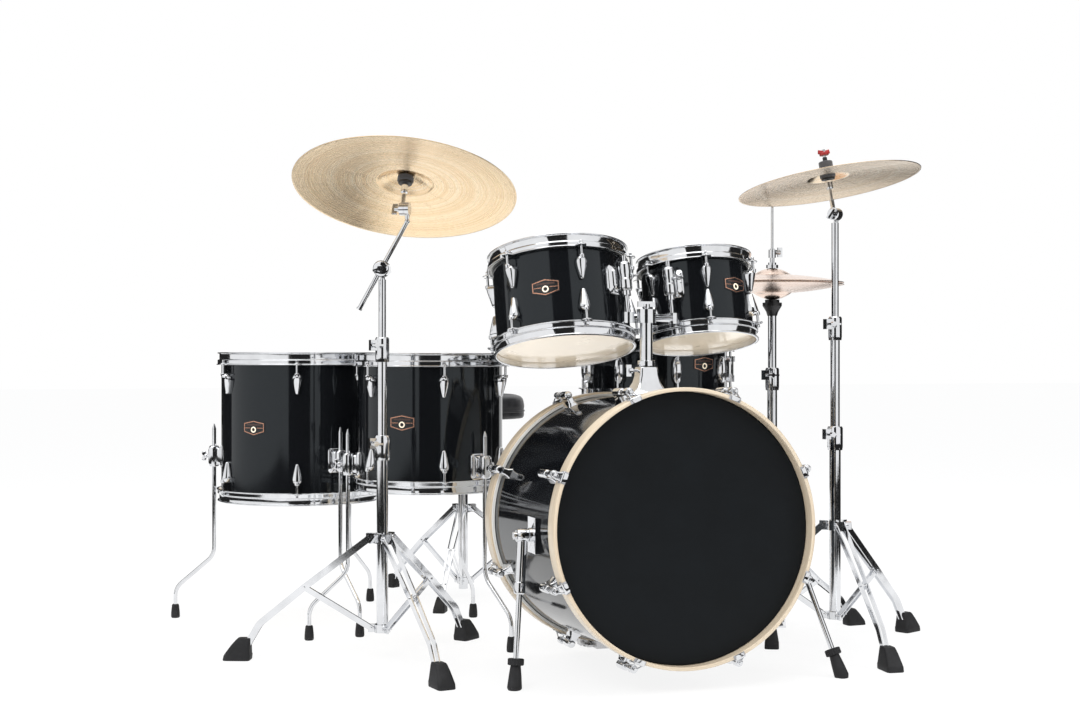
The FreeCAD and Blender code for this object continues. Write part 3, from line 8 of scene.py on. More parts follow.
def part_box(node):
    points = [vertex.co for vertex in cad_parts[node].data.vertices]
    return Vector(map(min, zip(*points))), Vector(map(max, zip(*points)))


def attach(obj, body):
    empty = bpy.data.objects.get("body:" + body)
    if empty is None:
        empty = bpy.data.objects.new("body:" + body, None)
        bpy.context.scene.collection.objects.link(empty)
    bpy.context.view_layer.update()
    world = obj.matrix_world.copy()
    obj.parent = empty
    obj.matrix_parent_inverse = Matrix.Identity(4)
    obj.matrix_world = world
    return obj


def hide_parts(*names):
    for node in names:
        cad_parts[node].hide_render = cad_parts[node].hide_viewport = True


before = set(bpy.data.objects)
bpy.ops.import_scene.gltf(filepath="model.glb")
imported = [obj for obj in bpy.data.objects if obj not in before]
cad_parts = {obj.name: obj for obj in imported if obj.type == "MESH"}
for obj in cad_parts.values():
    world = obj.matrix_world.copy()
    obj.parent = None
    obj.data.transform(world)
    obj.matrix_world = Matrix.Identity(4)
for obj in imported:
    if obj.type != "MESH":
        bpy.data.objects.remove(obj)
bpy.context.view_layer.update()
print("frame loaded:", len(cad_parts), "nodes")

inch = 25.4
tiny = {"merge": 2e-6, "empty": 1e-7}    # metres
throneMiddle = np.array([-105.0, 1150.0])    # the throne in the layout's millimetres
seatLow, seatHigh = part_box("throne_seat")
seatMiddle = (np.array(seatLow) + np.array(seatHigh)) * 500.0
origin = np.array([throneMiddle[0] - seatMiddle[0], throneMiddle[1] - seatMiddle[1], 0.0])


# shader maths
class Value:
    # wraps a socket so that an expression on it adds its nodes
    def __init__(self, tree, socket):
        self.tree = tree
        self.socket = socket

    def math(self, operation, *others):
        # one Math node: the operation on this value and the others
        return self.tree.node("ShaderNodeMath", {"operation": operation}, dict(enumerate((self,) + others)))

    def __add__(self, other):
        return self.math("ADD", other)

    def __radd__(self, other):
        return self.math("ADD", other)

    def __sub__(self, other):
        return self.math("SUBTRACT", other)

    def __rsub__(self, other):
        return self.tree.node("ShaderNodeMath", {"operation": "SUBTRACT"}, {0: other, 1: self})

    def __mul__(self, other):
        return self.math("MULTIPLY", other)

    def __rmul__(self, other):
        return self.math("MULTIPLY", other)

    def __truediv__(self, other):
        return self.math("DIVIDE", other)

    def __rtruediv__(self, other):
        return self.tree.node("ShaderNodeMath", {"operation": "DIVIDE"}, {0: other, 1: self})

    def __pow__(self, other):
        return self.math("POWER", other)

    def __gt__(self, other):
        return self.math("GREATER_THAN", other)

    def __lt__(self, other):
        return self.math("LESS_THAN", other)


class Finish:
    # one material: node() makes any node from its kind, settings and inputs
    def __init__(self, name, color, roughness, metallic=0.0, **constants):
        self.material = bpy.data.materials.new(name)
        self.material.use_nodes = True
        self.material.diffuse_color = (*color, 1)
        self.nodes = self.material.node_tree.nodes
        self.links = self.material.node_tree.links
        self.shader = self.nodes["Principled BSDF"]
        self.shader.inputs["Base Color"].default_value = (*color, 1)
        self.shader.inputs["Roughness"].default_value = roughness
        self.shader.inputs["Metallic"].default_value = metallic
        for key, value in constants.items():
            self.shader.inputs[key.replace("_", " ")].default_value = value

    def node(self, kind, settings=None, inputs=None, output=0):
        # any shader node: values are linked, numbers are set on its own sockets
        node = self.nodes.new(kind)
        for key, value in (settings or {}).items():
            if key == "stops":
                self.fillRamp(node.color_ramp, value)
            else:
                setattr(node, key, value)
        for key, value in (inputs or {}).items():
            if isinstance(value, Value):
                self.links.new(value.socket, node.inputs[key])
            else:
                node.inputs[key].default_value = value
        return Value(self, node.outputs[output])

    def fillRamp(self, ramp, stops):
        # stops are (place from 0 to 1, colour)
        while len(ramp.elements) < len(stops):
            ramp.elements.new(1.0)
        for element, (place, color) in zip(ramp.elements, stops):
            element.position = place
            element.color = (*color, 1) if len(color) == 3 else color

    def place(self):
        # position in metres, fixed to the piece
        return self.node("ShaderNodeTexCoord", output="Object")

    def uv(self):
        # the piece's own map
        return self.node("ShaderNodeUVMap", {"uv_map": "uv"})

    def axes(self, vector):
        # the three numbers of a vector
        split = self.node("ShaderNodeSeparateXYZ", inputs={0: vector})
        return [Value(self, split.socket.node.outputs[k]) for k in range(3)]

    def joined(self, x, y, z=0.0):
        # a vector from three numbers
        return self.node("ShaderNodeCombineXYZ", inputs={0: x, 1: y, 2: z})

    def noise(self, vector, scale, detail=3.0, roughness=0.55):
        # cloudy value about 0.5, one cloud per 1/scale metres
        return self.node("ShaderNodeTexNoise", inputs={"Vector": vector, "Scale": scale, "Detail": detail,
                                                       "Roughness": roughness})

    def cells(self, vector, scale, feature="F1"):
        # distance to the nearest scattered point, scale points per metre
        return self.node("ShaderNodeTexVoronoi", {"feature": feature}, {"Vector": vector, "Scale": scale})

    def ramp(self, factor, stops):
        # colour read off the stops at the factor
        return self.node("ShaderNodeValToRGB", {"stops": stops}, {0: factor})

    def span(self, value, low, high, toLow=0.0, toHigh=1.0):
        # toLow + (value - low) / (high - low) (toHigh - toLow), held between the two
        return self.node("ShaderNodeMapRange", {"clamp": True}, {0: value, 1: low, 2: high, 3: toLow, 4: toHigh})

    def blend(self, factor, first, second):
        # colour first (1 - factor) + second factor
        node = self.nodes.new("ShaderNodeMix")
        node.data_type = "RGBA"
        for index, value in ((0, factor), (6, first), (7, second)):
            if isinstance(value, Value):
                self.links.new(value.socket, node.inputs[index])
            else:
                node.inputs[index].default_value = value if index == 0 else (*value, 1)
        return Value(self, node.outputs[2])

    def set(self, name, value):
        # a value feeds one of the shader's inputs
        self.links.new(value.socket, self.shader.inputs[name])

    def bump(self, height, strength, distance):
        # the normal leans by the slope of height times distance
        node = self.node("ShaderNodeBump", inputs={"Height": height, "Strength": strength, "Distance": distance})
        self.set("Normal", node)


def blackLacquer():
    # deep gloss black: roughness clouds, faint vertical brushing under the clear coat
    f = Finish("black_lacquer", (0.006, 0.0065, 0.008), 0.09, Specular_IOR_Level=0.42,
               Specular_Tint=(0.86, 0.95, 1.0, 1))
    place = f.place()
    cloud = f.noise(place, 9.0, 4.0)
    fine = f.noise(place, 420.0, 2.0)
    f.set("Roughness", f.span(cloud, 0.3, 0.75, 0.05, 0.11))
    f.set("Base Color", f.ramp(fine, [(0.35, (0.0045, 0.005, 0.006)), (0.62, (0.0065, 0.0072, 0.0085)),
                                      (0.8, (0.009, 0.010, 0.012))]))
    f.bump(f.noise(place, 60.0, 2.0), 0.03, 0.0003)
    return f.material


def chromePlate():
    # mirror chrome with faint polishing haze and tiny waves
    tint = (0.80, 0.81, 0.83)
    f = Finish("chrome", tint, 0.08, 1.0)
    place = f.place()
    haze = f.noise(place, 22.0, 4.0)
    f.set("Roughness", f.span(haze, 0.3, 0.75, 0.045, 0.12))
    f.set("Base Color", f.blend(f.span(haze, 0.35, 0.7), tint, tuple(0.9 * c for c in tint)))
    f.bump(f.noise(place, 130.0, 2.0), 0.04, 0.0003)
    return f.material


def bronze(name, warm, pale, edge):
    # lathe lines by radius and hammer marks round the bow: uv holds (angle turns, radius in metres)
    f = Finish(name, warm, 0.26, 1.0)
    turn, radius = f.axes(f.uv())[:2]
    rings = f.noise(f.joined(radius * 260.0, 0.0, 0.0), 1.0, 4.0, 0.75)
    broad = f.noise(f.joined(radius * 70.0, 0.3, 0.0), 1.0, 2.0)
    around = turn * (2.0 * math.pi)
    across = f.joined(radius * around.math("COSINE"), radius * around.math("SINE"), 0.0)
    hammer = f.cells(across, 46.0, "SMOOTH_F1")
    dents = f.span(hammer, 0.0, 0.55, 1.0, 0.0)
    cloud = f.noise(across, 7.0, 4.0)
    streak = f.noise(f.joined(turn * 26.0, radius * 3.0, 0.0), 1.0, 2.0)
    tone = rings * 0.70 + broad * 0.24 + cloud * 0.06
    color = f.ramp(tone, [(0.38, edge), (0.5, warm), (0.62, pale)])
    f.set("Base Color", color)
    f.set("Roughness", f.span(rings * 0.7 + streak * 0.3, 0.3, 0.7, 0.18, 0.34))
    f.bump(rings * 0.9 + dents * 0.12, 0.35, 0.0006)
    return f.material


def mapleHoop():
    # pale grain that runs round the hoop: uv holds (arc length, place across) in metres
    f = Finish("maple", (0.60, 0.50, 0.38), 0.32, Coat_Weight=0.25, Coat_Roughness=0.12)
    along, across = f.axes(f.uv())[:2]
    grain = f.noise(f.joined(along * 5.0, across * 260.0, 0.0), 1.0, 5.0, 0.6)
    pores = f.noise(f.joined(along * 60.0, across * 1500.0, 3.0), 1.0, 2.0)
    layer = f.noise(f.joined(along * 1.4, across * 60.0, 7.0), 1.0, 2.0)
    tone = grain * 0.6 + layer * 0.4
    base = f.ramp(tone, [(0.3, (0.50, 0.39, 0.27)), (0.5, (0.61, 0.51, 0.38)), (0.72, (0.69, 0.60, 0.47))])
    f.set("Base Color", f.blend(f.span(pores, 0.62, 0.8), base, (0.42, 0.32, 0.21)))
    f.set("Roughness", f.span(grain, 0.3, 0.7, 0.26, 0.40))
    f.bump(grain * 0.5 + pores * 0.5, 0.15, 0.0003)
    return f.material


def drumFilm(name, color, roughness, speckle, coat=0.0, **constants):
    # plastic film: coating grain, a little mottling, slight waves
    f = Finish(name, color, roughness, Coat_Weight=coat, Coat_Roughness=0.1, **constants)
    place = f.place()
    grain = f.noise(place, 900.0, 2.0)
    mottle = f.noise(place, 14.0, 4.0)
    dark = tuple(c * (1 - speckle) for c in color)
    f.set("Base Color", f.blend(f.span(mottle * 0.6 + grain * 0.4, 0.35, 0.65), dark, color))
    f.set("Roughness", f.span(mottle, 0.3, 0.7, roughness - 0.05, roughness + 0.05))
    f.bump(grain, 0.12, 0.0002)
    return f.material


def rubberBlack(name="black_rubber", color=(0.014, 0.014, 0.015), roughness=0.62, shine=0.3):
    # moulded rubber or plastic: base colour lightened by patches of dust, grain in roughness and height
    f = Finish(name, color, roughness, Specular_IOR_Level=shine)
    place = f.place()
    grain = f.noise(place, 700.0, 3.0)
    dust = f.noise(place, 30.0, 4.0)
    f.set("Base Color", f.blend(f.span(dust, 0.45, 0.8), color, tuple(c * 1.9 for c in color)))
    f.set("Roughness", f.span(grain, 0.3, 0.7, roughness - 0.08, roughness + 0.08))
    f.bump(grain, 0.25, 0.0004)
    return f.material


def feltFinish(name, color):
    # matted wool: short tangled fibres
    f = Finish(name, color, 0.95, Sheen_Weight=0.3)
    place = f.place()
    fibre = f.noise(place, 900.0, 4.0, 0.75)
    patch = f.noise(place, 160.0, 3.0)
    f.set("Base Color", f.blend(f.span(fibre * 0.6 + patch * 0.4, 0.35, 0.65), tuple(c * 0.6 for c in color), color))
    f.bump(fibre, 0.8, 0.0008)
    return f.material


def seatVinyl():
    # pebbled upholstery vinyl
    f = Finish("seat_vinyl", (0.022, 0.022, 0.024), 0.42, Specular_IOR_Level=0.5)
    place = f.place()
    pebble = f.cells(place, 520.0, "SMOOTH_F1")
    wrinkle = f.noise(place, 45.0, 4.0)
    f.set("Base Color", f.blend(f.span(wrinkle, 0.35, 0.7), (0.016, 0.016, 0.018), (0.032, 0.032, 0.034)))
    f.set("Roughness", f.span(pebble, 0.0, 0.7, 0.52, 0.36))
    f.bump(pebble * 0.7 + wrinkle * 0.4, 0.3, 0.0005)
    return f.material


def brushedMetal(name, color, roughness, metallic=1.0):
    # fine brushing lines along X of the piece
    f = Finish(name, color, roughness, metallic)
    x, y, z = f.axes(f.place())
    lines = f.noise(f.joined(x * 900.0, y * 30.0, z * 900.0), 1.0, 3.0)
    f.set("Roughness", f.span(lines, 0.3, 0.7, roughness - 0.07, roughness + 0.1))
    f.set("Base Color", f.blend(f.span(lines, 0.3, 0.7), tuple(c * 0.85 for c in color), color))
    f.bump(lines, 0.12, 0.0002)
    return f.material


def badgeFace():
    # black plate with a copper outline and one copper rule; uv is in millimetres from its middle
    f = Finish("badge", (0.01, 0.01, 0.011), 0.25, 0.0)
    u, v = f.axes(f.uv())[:2]
    side = u.math("ABSOLUTE")
    roof = v + side * 0.2 - 18.2
    floor = 0 - v + side * 0.287 - 18.2
    wall = side - 30.2
    outer = roof.math("MAXIMUM", floor).math("MAXIMUM", wall)
    ring = (outer > -2.3) * (outer < -0.5)
    rule = (v.math("ABSOLUTE") < 0.55) * (side < 27.0) * (side > 9.5)
    upper = ((v - 8.2).math("ABSOLUTE") < 2.0) * (side < 21.0)
    wash = f.noise(f.place(), 700.0, 2.0)
    copper = (ring + rule).math("MINIMUM", 1.0)
    tint = f.blend(f.span(wash, 0.3, 0.7), (0.62, 0.30, 0.19), (0.78, 0.42, 0.29))
    body = f.blend(upper, (0.010, 0.010, 0.011), (0.055, 0.03, 0.024))
    f.set("Base Color", f.blend(copper, body, tint))
    f.set("Metallic", copper * 0.85)
    f.set("Roughness", f.span(wash, 0.3, 0.7, 0.2, 0.34))
    f.bump(copper, 0.4, 0.0003)
    return f.material


finishes = {
    "lacquer": blackLacquer(),
    "chrome": chromePlate(),
    "ride": bronze("ride_bronze", (0.92, 0.72, 0.48), (0.99, 0.86, 0.67), (0.80, 0.57, 0.34)),
    "crash": bronze("crash_bronze", (0.93, 0.77, 0.58), (0.98, 0.89, 0.75), (0.82, 0.64, 0.45)),
    "hat": bronze("hat_bronze", (0.94, 0.75, 0.64), (0.99, 0.88, 0.79), (0.84, 0.63, 0.52)),
    "maple": mapleHoop(),
    "frontFilm": drumFilm("black_film", (0.0055, 0.007, 0.0085), 0.6, 0.3, Specular_IOR_Level=0.15),
    "whiteFilm": drumFilm("white_film", (0.80, 0.79, 0.76), 0.55, 0.05),
    # cream film with a painted glow: its emission of 0.34 is painted light that brightens the tom bottom heads and
    # badge vent rings, which lie in shade
    "glowingCreamFilm": drumFilm("cream_film_painted_glow", (0.92, 0.81, 0.64), 0.3, 0.05, 0.8, Emission_Color=(0.95, 0.80, 0.60, 1),
                          Emission_Strength=0.34),
    "rubber": rubberBlack(),
    "greyRubber": rubberBlack("grey_pad", (0.30, 0.30, 0.31), 0.6),
    "blackPlastic": rubberBlack("black_plastic", (0.012, 0.012, 0.013), 0.32, 0.5),
    "felt": feltFinish("grey_felt", (0.085, 0.085, 0.09)),
    "whiteFelt": feltFinish("beater_felt", (0.62, 0.60, 0.56)),
    "redPlastic": rubberBlack("red_release", (0.30, 0.02, 0.02), 0.35, 0.5),
    "vinyl": seatVinyl(),
    "board": brushedMetal("pedal_plate", (0.60, 0.60, 0.61), 0.3),
    "wire": brushedMetal("snare_wire", (0.66, 0.66, 0.68), 0.25),
    "wood": brushedMetal("inner_ply", (0.46, 0.34, 0.22), 0.6, 0.0),
    "badge": badgeFace(),
}
print("finishes:", len(finishes))


# mesh helpers
def surface(rows, cols, closeRows=False, closeCols=True):
    # quads of a grid, as rows of corner numbers
    i = np.arange(rows if closeRows else rows - 1)
    j = np.arange(cols if closeCols else cols - 1)
    a, b = np.meshgrid(i, j, indexing="ij")
    down, right = (a + 1) % rows, (b + 1) % cols
    return np.stack([a * cols + b, a * cols + right, down * cols + right, down * cols + b], -1).reshape(-1, 4)


def rounded(corners, radius, steps=5, closed=False):
    # each corner P becomes the curve (1-t)^2 A + 2t(1-t) P + t^2 B, with A and B up to radius along its sides
    p = np.asarray(corners, float)
    size = np.broadcast_to(np.asarray(radius, float), (len(p),))
    before, after = np.roll(p, 1, 0), np.roll(p, -1, 0)
    lengthIn = np.linalg.norm(before - p, axis=1)
    lengthOut = np.linalg.norm(after - p, axis=1)
    inward = (before - p) / np.maximum(lengthIn, 1e-9)[:, None]
    outward = (after - p) / np.maximum(lengthOut, 1e-9)[:, None]
    reach = np.minimum(size, np.minimum(lengthIn, lengthOut) * 0.49)[:, None]
    start, end = p + inward * reach, p + outward * reach
    t = np.linspace(0, 1, steps)[None, :, None]
    curve = (1 - t) ** 2 * start[:, None] + 2 * t * (1 - t) * p[:, None] + t ** 2 * end[:, None]
    if closed:
        return curve.reshape(-1, p.shape[1])
    middle = curve[1:-1].reshape(-1, p.shape[1])
    return np.vstack([p[:1], middle, p[-1:]])


def lathe(profile, steps=96):
    # (r, z) and angle a: (r cos a, r sin a, z)
    p = np.asarray(profile, float)
    a = np.linspace(0, 2 * np.pi, steps, endpoint=False)
    return np.stack([p[:, :1] * np.cos(a), p[:, :1] * np.sin(a), np.repeat(p[:, 1:2], steps, 1)], -1)


def sweep(section, path, size=None, up=(0, 0, 1), capped=True):
    # path point + x side + y top, with side square to the path and to up
    path = np.asarray(path, float)
    section = np.asarray(section, float)
    way = np.gradient(path, axis=0)
    way /= np.linalg.norm(way, axis=1)[:, None]
    side = np.cross(way, np.asarray(up, float))
    side /= np.maximum(np.linalg.norm(side, axis=1), 1e-9)[:, None]
    top = np.cross(side, way)
    grow = np.ones((len(path), 2)) if size is None else np.asarray(size, float).reshape(len(path), -1)
    x = section[None, :, 0:1] * grow[:, None, :1]
    y = section[None, :, 1:2] * grow[:, None, -1:]
    points = path[:, None] + x * side[:, None] + y * top[:, None]
    if capped:
        ends = [np.repeat(path[k][None, None], len(section), 1) for k in (0, -1)]
        points = np.concatenate([ends[0], points, ends[1]], 0)
    return points


def capped(rings):
    # rings of points, closed at both ends by their own middles
    ends = [np.repeat(ring.mean(0)[None], len(ring), 0) for ring in (rings[0], rings[-1])]
    return np.array([ends[0], *rings, ends[1]])


def circle(radius, steps=16):
    # (radius cos a, radius sin a)
    a = np.linspace(0, 2 * np.pi, steps, endpoint=False)
    return np.stack([radius * np.cos(a), radius * np.sin(a)], -1)


def block(width, height, corner=1.0, steps=3):
    # rectangle of half sizes w and h with rounded corners
    w, h = width / 2, height / 2
    return rounded([(-w, -h), (w, -h), (w, h), (-w, h)], corner, steps, True)


def turnMatrix(axis, degrees):
    # right-handed turn about an axis through the origin
    return np.array(Matrix.Rotation(math.radians(degrees), 3, Vector(axis)))


def standing(direction):
    # turns local Z to a direction
    return np.array(Vector((0, 0, 1)).rotation_difference(Vector(direction)).to_matrix())


def moved(points, matrix=None, shift=(0, 0, 0)):
    # matrix times point, plus shift
    points = np.asarray(points, float)
    if matrix is not None:
        points = points @ matrix.T
    return points + np.asarray(shift, float)


def polar(radius, degrees, height=0.0):
    # (radius cos a, radius sin a, height)
    a = math.radians(degrees)
    return np.array([radius * math.cos(a), radius * math.sin(a), height])


class Piece:
    def __init__(self, name):
        self.name = name
        self.points, self.faces, self.slots, self.uvs = [], [], [], []
        self.count = 0

    def add(self, grid, slot=0, closeRows=False, closeCols=True, uv=None):
        # a grid of points becomes quads between its neighbouring rows and columns
        grid = np.asarray(grid, float)
        rows, cols = grid.shape[:2]
        faces = surface(rows, cols, closeRows, closeCols)
        self.points.append(grid.reshape(-1, 3))
        self.faces.append(faces + self.count)
        self.slots.append(np.full(len(faces), slot))
        self.uvs.append(self.cornerUv(rows, cols, closeRows, closeCols, uv))
        self.count += rows * cols
        return self

    def cornerUv(self, rows, cols, closeRows, closeCols, uv):
        # uv(rowShare, colShare) per corner, so that a seam's last column reads 1 and not 0
        i = np.arange(rows if closeRows else rows - 1)
        j = np.arange(cols if closeCols else cols - 1)
        a, b = np.meshgrid(i, j, indexing="ij")
        row = np.stack([a, a, a + 1, a + 1], -1).reshape(-1)
        col = np.stack([b, b + 1, b + 1, b], -1).reshape(-1)
        if uv is None:
            return np.stack([col / max(cols, 1), row / max(rows, 1)], -1)
        return uv(row, col)

    def addMany(self, grid, matrices, slot=0, closeRows=False):
        # the same grid turned by each matrix
        for matrix in matrices:
            self.add(moved(grid, matrix), slot, closeRows)

    def finish(self, body, materials, replaced, slotName, tilt=0.0, centre=(0, 0, 0), smoothAngle=38.0):
        # point = (turn about X by tilt + centre - origin) / 1000, from millimetres to metres
        points = moved(np.vstack(self.points), turnMatrix((1, 0, 0), tilt), centre)
        points = (points - origin) / 1000.0
        faces = np.vstack(self.faces)
        mesh = bpy.data.meshes.new(self.name)
        mesh.from_pydata(points.tolist(), [], faces.tolist())
        mesh.polygons.foreach_set("material_index", np.concatenate(self.slots).astype(np.int32))
        layer = mesh.uv_layers.new(name="uv")
        layer.data.foreach_set("uv", np.vstack(self.uvs).astype(np.float32).ravel())
        cleanUp(mesh)
        return dress(mesh, self.name, body, materials, replaced, slotName, 0.0, smoothAngle)


def cleanUp(mesh):
    # poles and seams merge, empty faces go, normals turn outward
    work = bmesh.new()
    work.from_mesh(mesh)
    bmesh.ops.remove_doubles(work, verts=work.verts, dist=tiny["merge"])
    bmesh.ops.dissolve_degenerate(work, edges=work.edges, dist=tiny["empty"])
    bmesh.ops.recalc_face_normals(work, faces=work.faces)
    work.to_mesh(mesh)
    work.free()


def dress(mesh, name, body, materials, replaced, slotName, bevel, smoothAngle):
    # materials, shading, optional rounded edges, and the piece's place in the frame
    for key in materials:
        mesh.materials.append(finishes[key])
    mesh.polygons.foreach_set("use_smooth", np.ones(len(mesh.polygons), bool))
    mesh.set_sharp_from_angle(angle=math.radians(smoothAngle))
    piece = bpy.data.objects.new(name, mesh)
    bpy.context.scene.collection.objects.link(piece)
    if bevel:
        edge = piece.modifiers.new("edges", "BEVEL")
        edge.width = bevel / 1000.0
        edge.segments = 2
        edge.limit_method = "ANGLE"
        edge.angle_limit = math.radians(40)
        edge.harden_normals = True
    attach(piece, body)
    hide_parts(*replaced)
    return piece


def fromCad(node, body, materials=("chrome",), slotName="chrome", rule=None, bevel=0.5, name=None, keep=None,
            trim=None):
    # a merged copy of a CAD node: trim(middles) drops faces, keep picks loose parts, rule picks each one's finish
    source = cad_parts[node].data
    work = bmesh.new()
    work.from_mesh(source)
    bmesh.ops.remove_doubles(work, verts=work.verts, dist=tiny["merge"])
    bmesh.ops.dissolve_degenerate(work, edges=work.edges, dist=tiny["empty"])
    if trim:
        middles = np.array([f.calc_center_median() for f in work.faces]) * 1000.0 + origin
        spare = [f for f, gone in zip(list(work.faces), trim(middles)) if gone]
        bmesh.ops.delete(work, geom=spare, context="FACES")
    work.faces.index_update()
    islands = looseParts(work)
    drop = []
    for faces in islands:
        corners = np.array([v.co for f in faces for v in f.verts]) * 1000.0 + origin
        low, high = corners.min(0), corners.max(0)
        middle, size = (low + high) / 2, high - low
        if keep and not keep(middle, size):
            drop.extend(faces)
            continue
        index = rule(middle, size) if rule else 0
        for f in faces:
            f.material_index = index
    if drop:
        bmesh.ops.delete(work, geom=drop, context="FACES")
    bmesh.ops.dissolve_limit(work, angle_limit=math.radians(1.0), verts=work.verts, edges=work.edges,
                             delimit={"MATERIAL"})
    mesh = bpy.data.meshes.new(name or node + "_shown")
    work.to_mesh(mesh)
    work.free()
    while mesh.uv_layers:
        mesh.uv_layers.remove(mesh.uv_layers[0])
    return dress(mesh, name or node + "_shown", body, materials, (node,), slotName, bevel, 32.0)


def looseParts(work):
    # groups of faces joined by shared edges, found by walking from face to face
    seen, parts = set(), []
    for face in work.faces:
        if face.index in seen:
            continue
        stack, group = [face], []
        seen.add(face.index)
        while stack:
            current = stack.pop()
            group.append(current)
            for edge in current.edges:
                for other in edge.link_faces:
                    if other.index not in seen:
                        seen.add(other.index)
                        stack.append(other)
        parts.append(group)
    return parts


# drums: settings in millimetres
drumSizes = {"wall": 7.0, "rodOut": 16.5, "flesh": 15.0, "ring": 8.0, "skirt": 11.0, "rise": 14.0, "sheet": 2.3,
             "lugLength": 54.0, "lugWidth": 26.0, "lugDepth": 21.0, "rodShown": 20.0}


def shellRadius(diameter):
    # the shell is a millimetre smaller all round than its head
    return diameter / 2 - 1


def shellPiece(name, body, diameter, depth, tilt, centre, replaced, slotName="black_lacquer"):
    # outer wall, bearing edges rounded over 1 mm, inner wall one thickness inward
    r, e, w = shellRadius(diameter), depth / 2, drumSizes["wall"]
    outer = [(r, -e + 1), (r, e - 1), (r - 1, e), (r - 2, e), (r - w, e - 5)]
    inner = [(r - w, -e + 5), (r - 2, -e), (r - 1, -e)]
    piece = Piece(name)
    piece.add(lathe(outer, 256))
    piece.add(lathe([outer[-1], (r - w, 0), inner[0]], 256), 1)
    piece.add(lathe(inner + [outer[0]], 256))
    return piece.finish(body, ["lacquer", "wood"], replaced, slotName, tilt, centre, smoothAngle=30)


def headGrid(diameter, depth, drop):
    # film, its rounded collar and the ring, as one closed profile
    r, e = shellRadius(diameter) + 1.0, depth / 2
    low = e - drop
    film = [(0, e + 0.5), (r * 0.5, e + 0.5), (r - 6, e + 0.55), (r - 1.5, e + 0.3)]
    bend = rounded([(r - 1.5, e + 0.3), (r + 0.8, e), (r + 0.8, e - 3)], 1.6, 5)
    ring = [(r + 0.8, low + 8), (r + 4.5, low + 8), (r + 5.5, low + 7), (r + 5.5, low), (r, low), (r, e - 0.2),
            (0, e - 0.1)]
    return lathe(np.vstack([film, bend[1:], ring]), 192)


def flipped(grid):
    # mirror image in the plane of the drum: z becomes -z
    return grid * np.array([1.0, 1.0, -1.0])


def hoopGrid(diameter, depth, angles):
    # triple-flanged hoop: closed profile whose lowest flange widens to an ear at each rod
    s = drumSizes
    r = shellRadius(diameter)
    inner, out = r + 2.8, r + 7.5
    seat = depth / 2 - s["flesh"] + s["ring"]
    top, foot, t = depth / 2 + s["rise"], seat - s["skirt"], s["sheet"]
    corners = [(inner, top - 1.0), (inner, seat), (out, seat), (out, foot), (out + 5.0, foot), (out + 5.0, foot + t),
               (out + t, foot + t), (out + t, seat + t), (inner + t, seat + t), (inner + t, top - t - 0.6),
               (inner + 7.0, top - t - 0.6), (inner + 7.2, top - 0.2), (inner + 1.2, top + 0.2)]
    profile = rounded(corners, [1.6, 1.2, 1.6, 0.8, 0.9, 0.9, 1.6, 3.0, 2.6, 2.4, 0.9, 1.4, 1.8], 5, True)
    base = np.linspace(0, 360, 240, endpoint=False)
    near = np.linspace(-5.5, 5.5, 19) * 330.0 / diameter
    a = np.unique(np.round(np.concatenate([base] + [(angle + near) % 360 for angle in angles]), 4))
    offset = np.min(np.abs((a[:, None] - np.asarray(angles)[None] + 180) % 360 - 180), 1)
    reach = r + s["rodOut"]
    beside = np.abs(reach * np.radians(offset))
    ear = np.sqrt(np.clip(1 - (beside / 12.5) ** 2.6, 0, 1)) * (reach + 10.5 - (out + 5.0))
    rim = (profile[:, 0] > out + 2.9) & (profile[:, 1] < foot + t + 1.5)
    radius = profile[:, :1] + rim[:, None] * ear[None]
    rad = np.radians(a)[None]
    z = np.repeat(profile[:, 1:2], len(a), 1)
    return np.stack([radius * np.cos(rad), radius * np.sin(rad), z], -1)


def lugGrid(diameter, top, length):
    # teardrop casting: half a superellipse across, width w(t) and depth d(t) along
    s = drumSizes
    r = shellRadius(diameter)
    t = np.concatenate([np.linspace(0, 0.26, 9), np.linspace(0.26, 0.93, 12)[1:], np.linspace(0.93, 1.0, 5)[1:]])
    wide = np.where(t < 0.26, np.sqrt(np.clip(1 - ((0.26 - t) / 0.26) ** 2, 0, 1)),
                    1 - 0.70 * (np.maximum(t - 0.26, 0) / 0.74) ** 1.25)
    wide = wide * np.sqrt(np.clip((1.0 - t) / 0.07, 0, 1) * (2 - np.clip((1.0 - t) / 0.07, 0, 1)))
    deep = np.where(t < 0.2, 0.74 + 0.26 * np.sin(t / 0.2 * np.pi / 2),
                    1 - 0.52 * (np.maximum(t - 0.2, 0) / 0.8) ** 1.1)
    deep = deep * (np.clip(wide * 3, 0, 1) ** 0.5)
    phi = np.linspace(0, np.pi, 17)
    c, sn = np.cos(phi), np.sin(phi)
    across = np.sign(c) * np.abs(c) ** 0.72
    out = np.abs(sn) ** 0.62
    y = wide[:, None] * (s["lugWidth"] / 2) * across[None]
    x = r - 1.2 + deep[:, None] * s["lugDepth"] * out[None] - (y ** 2) / (2 * r) * (out[None] < 0.05)
    z = np.repeat((top - t * length)[:, None], len(phi), 1)
    grid = np.stack([x, y, z], -1)
    base = grid[:, ::-1].copy()
    base[..., 0] = r - 4.0
    return np.concatenate([grid, base[:, [0, -1]]], 1)


def rodGrids(place, length, washer, lift):
    # stem, washer and square head of one tension rod; washer is (radius, inner radius, rim, height)
    radius, inner, rim, height = washer
    stem = lathe([(0, -length), (3.0, -length), (3.0, 0.3), (0, 0.3)], 12)
    ring = lathe(rounded([(0, 0), (radius, 0), (radius, rim), (inner, height), (0, height)],
                         [0, 0.6, 0.9, 0.6, 0], 3), 20)
    head = np.array([block(w, w, 0.9, 3) for w in (0.01, 5.2, 6.2, 6.2, 5.4, 0.01)])
    rise = np.broadcast_to(np.array(lift)[:, None, None], head.shape[:2] + (1,))
    return [moved(g, None, place) for g in (stem, ring, np.concatenate([head, rise], -1))]


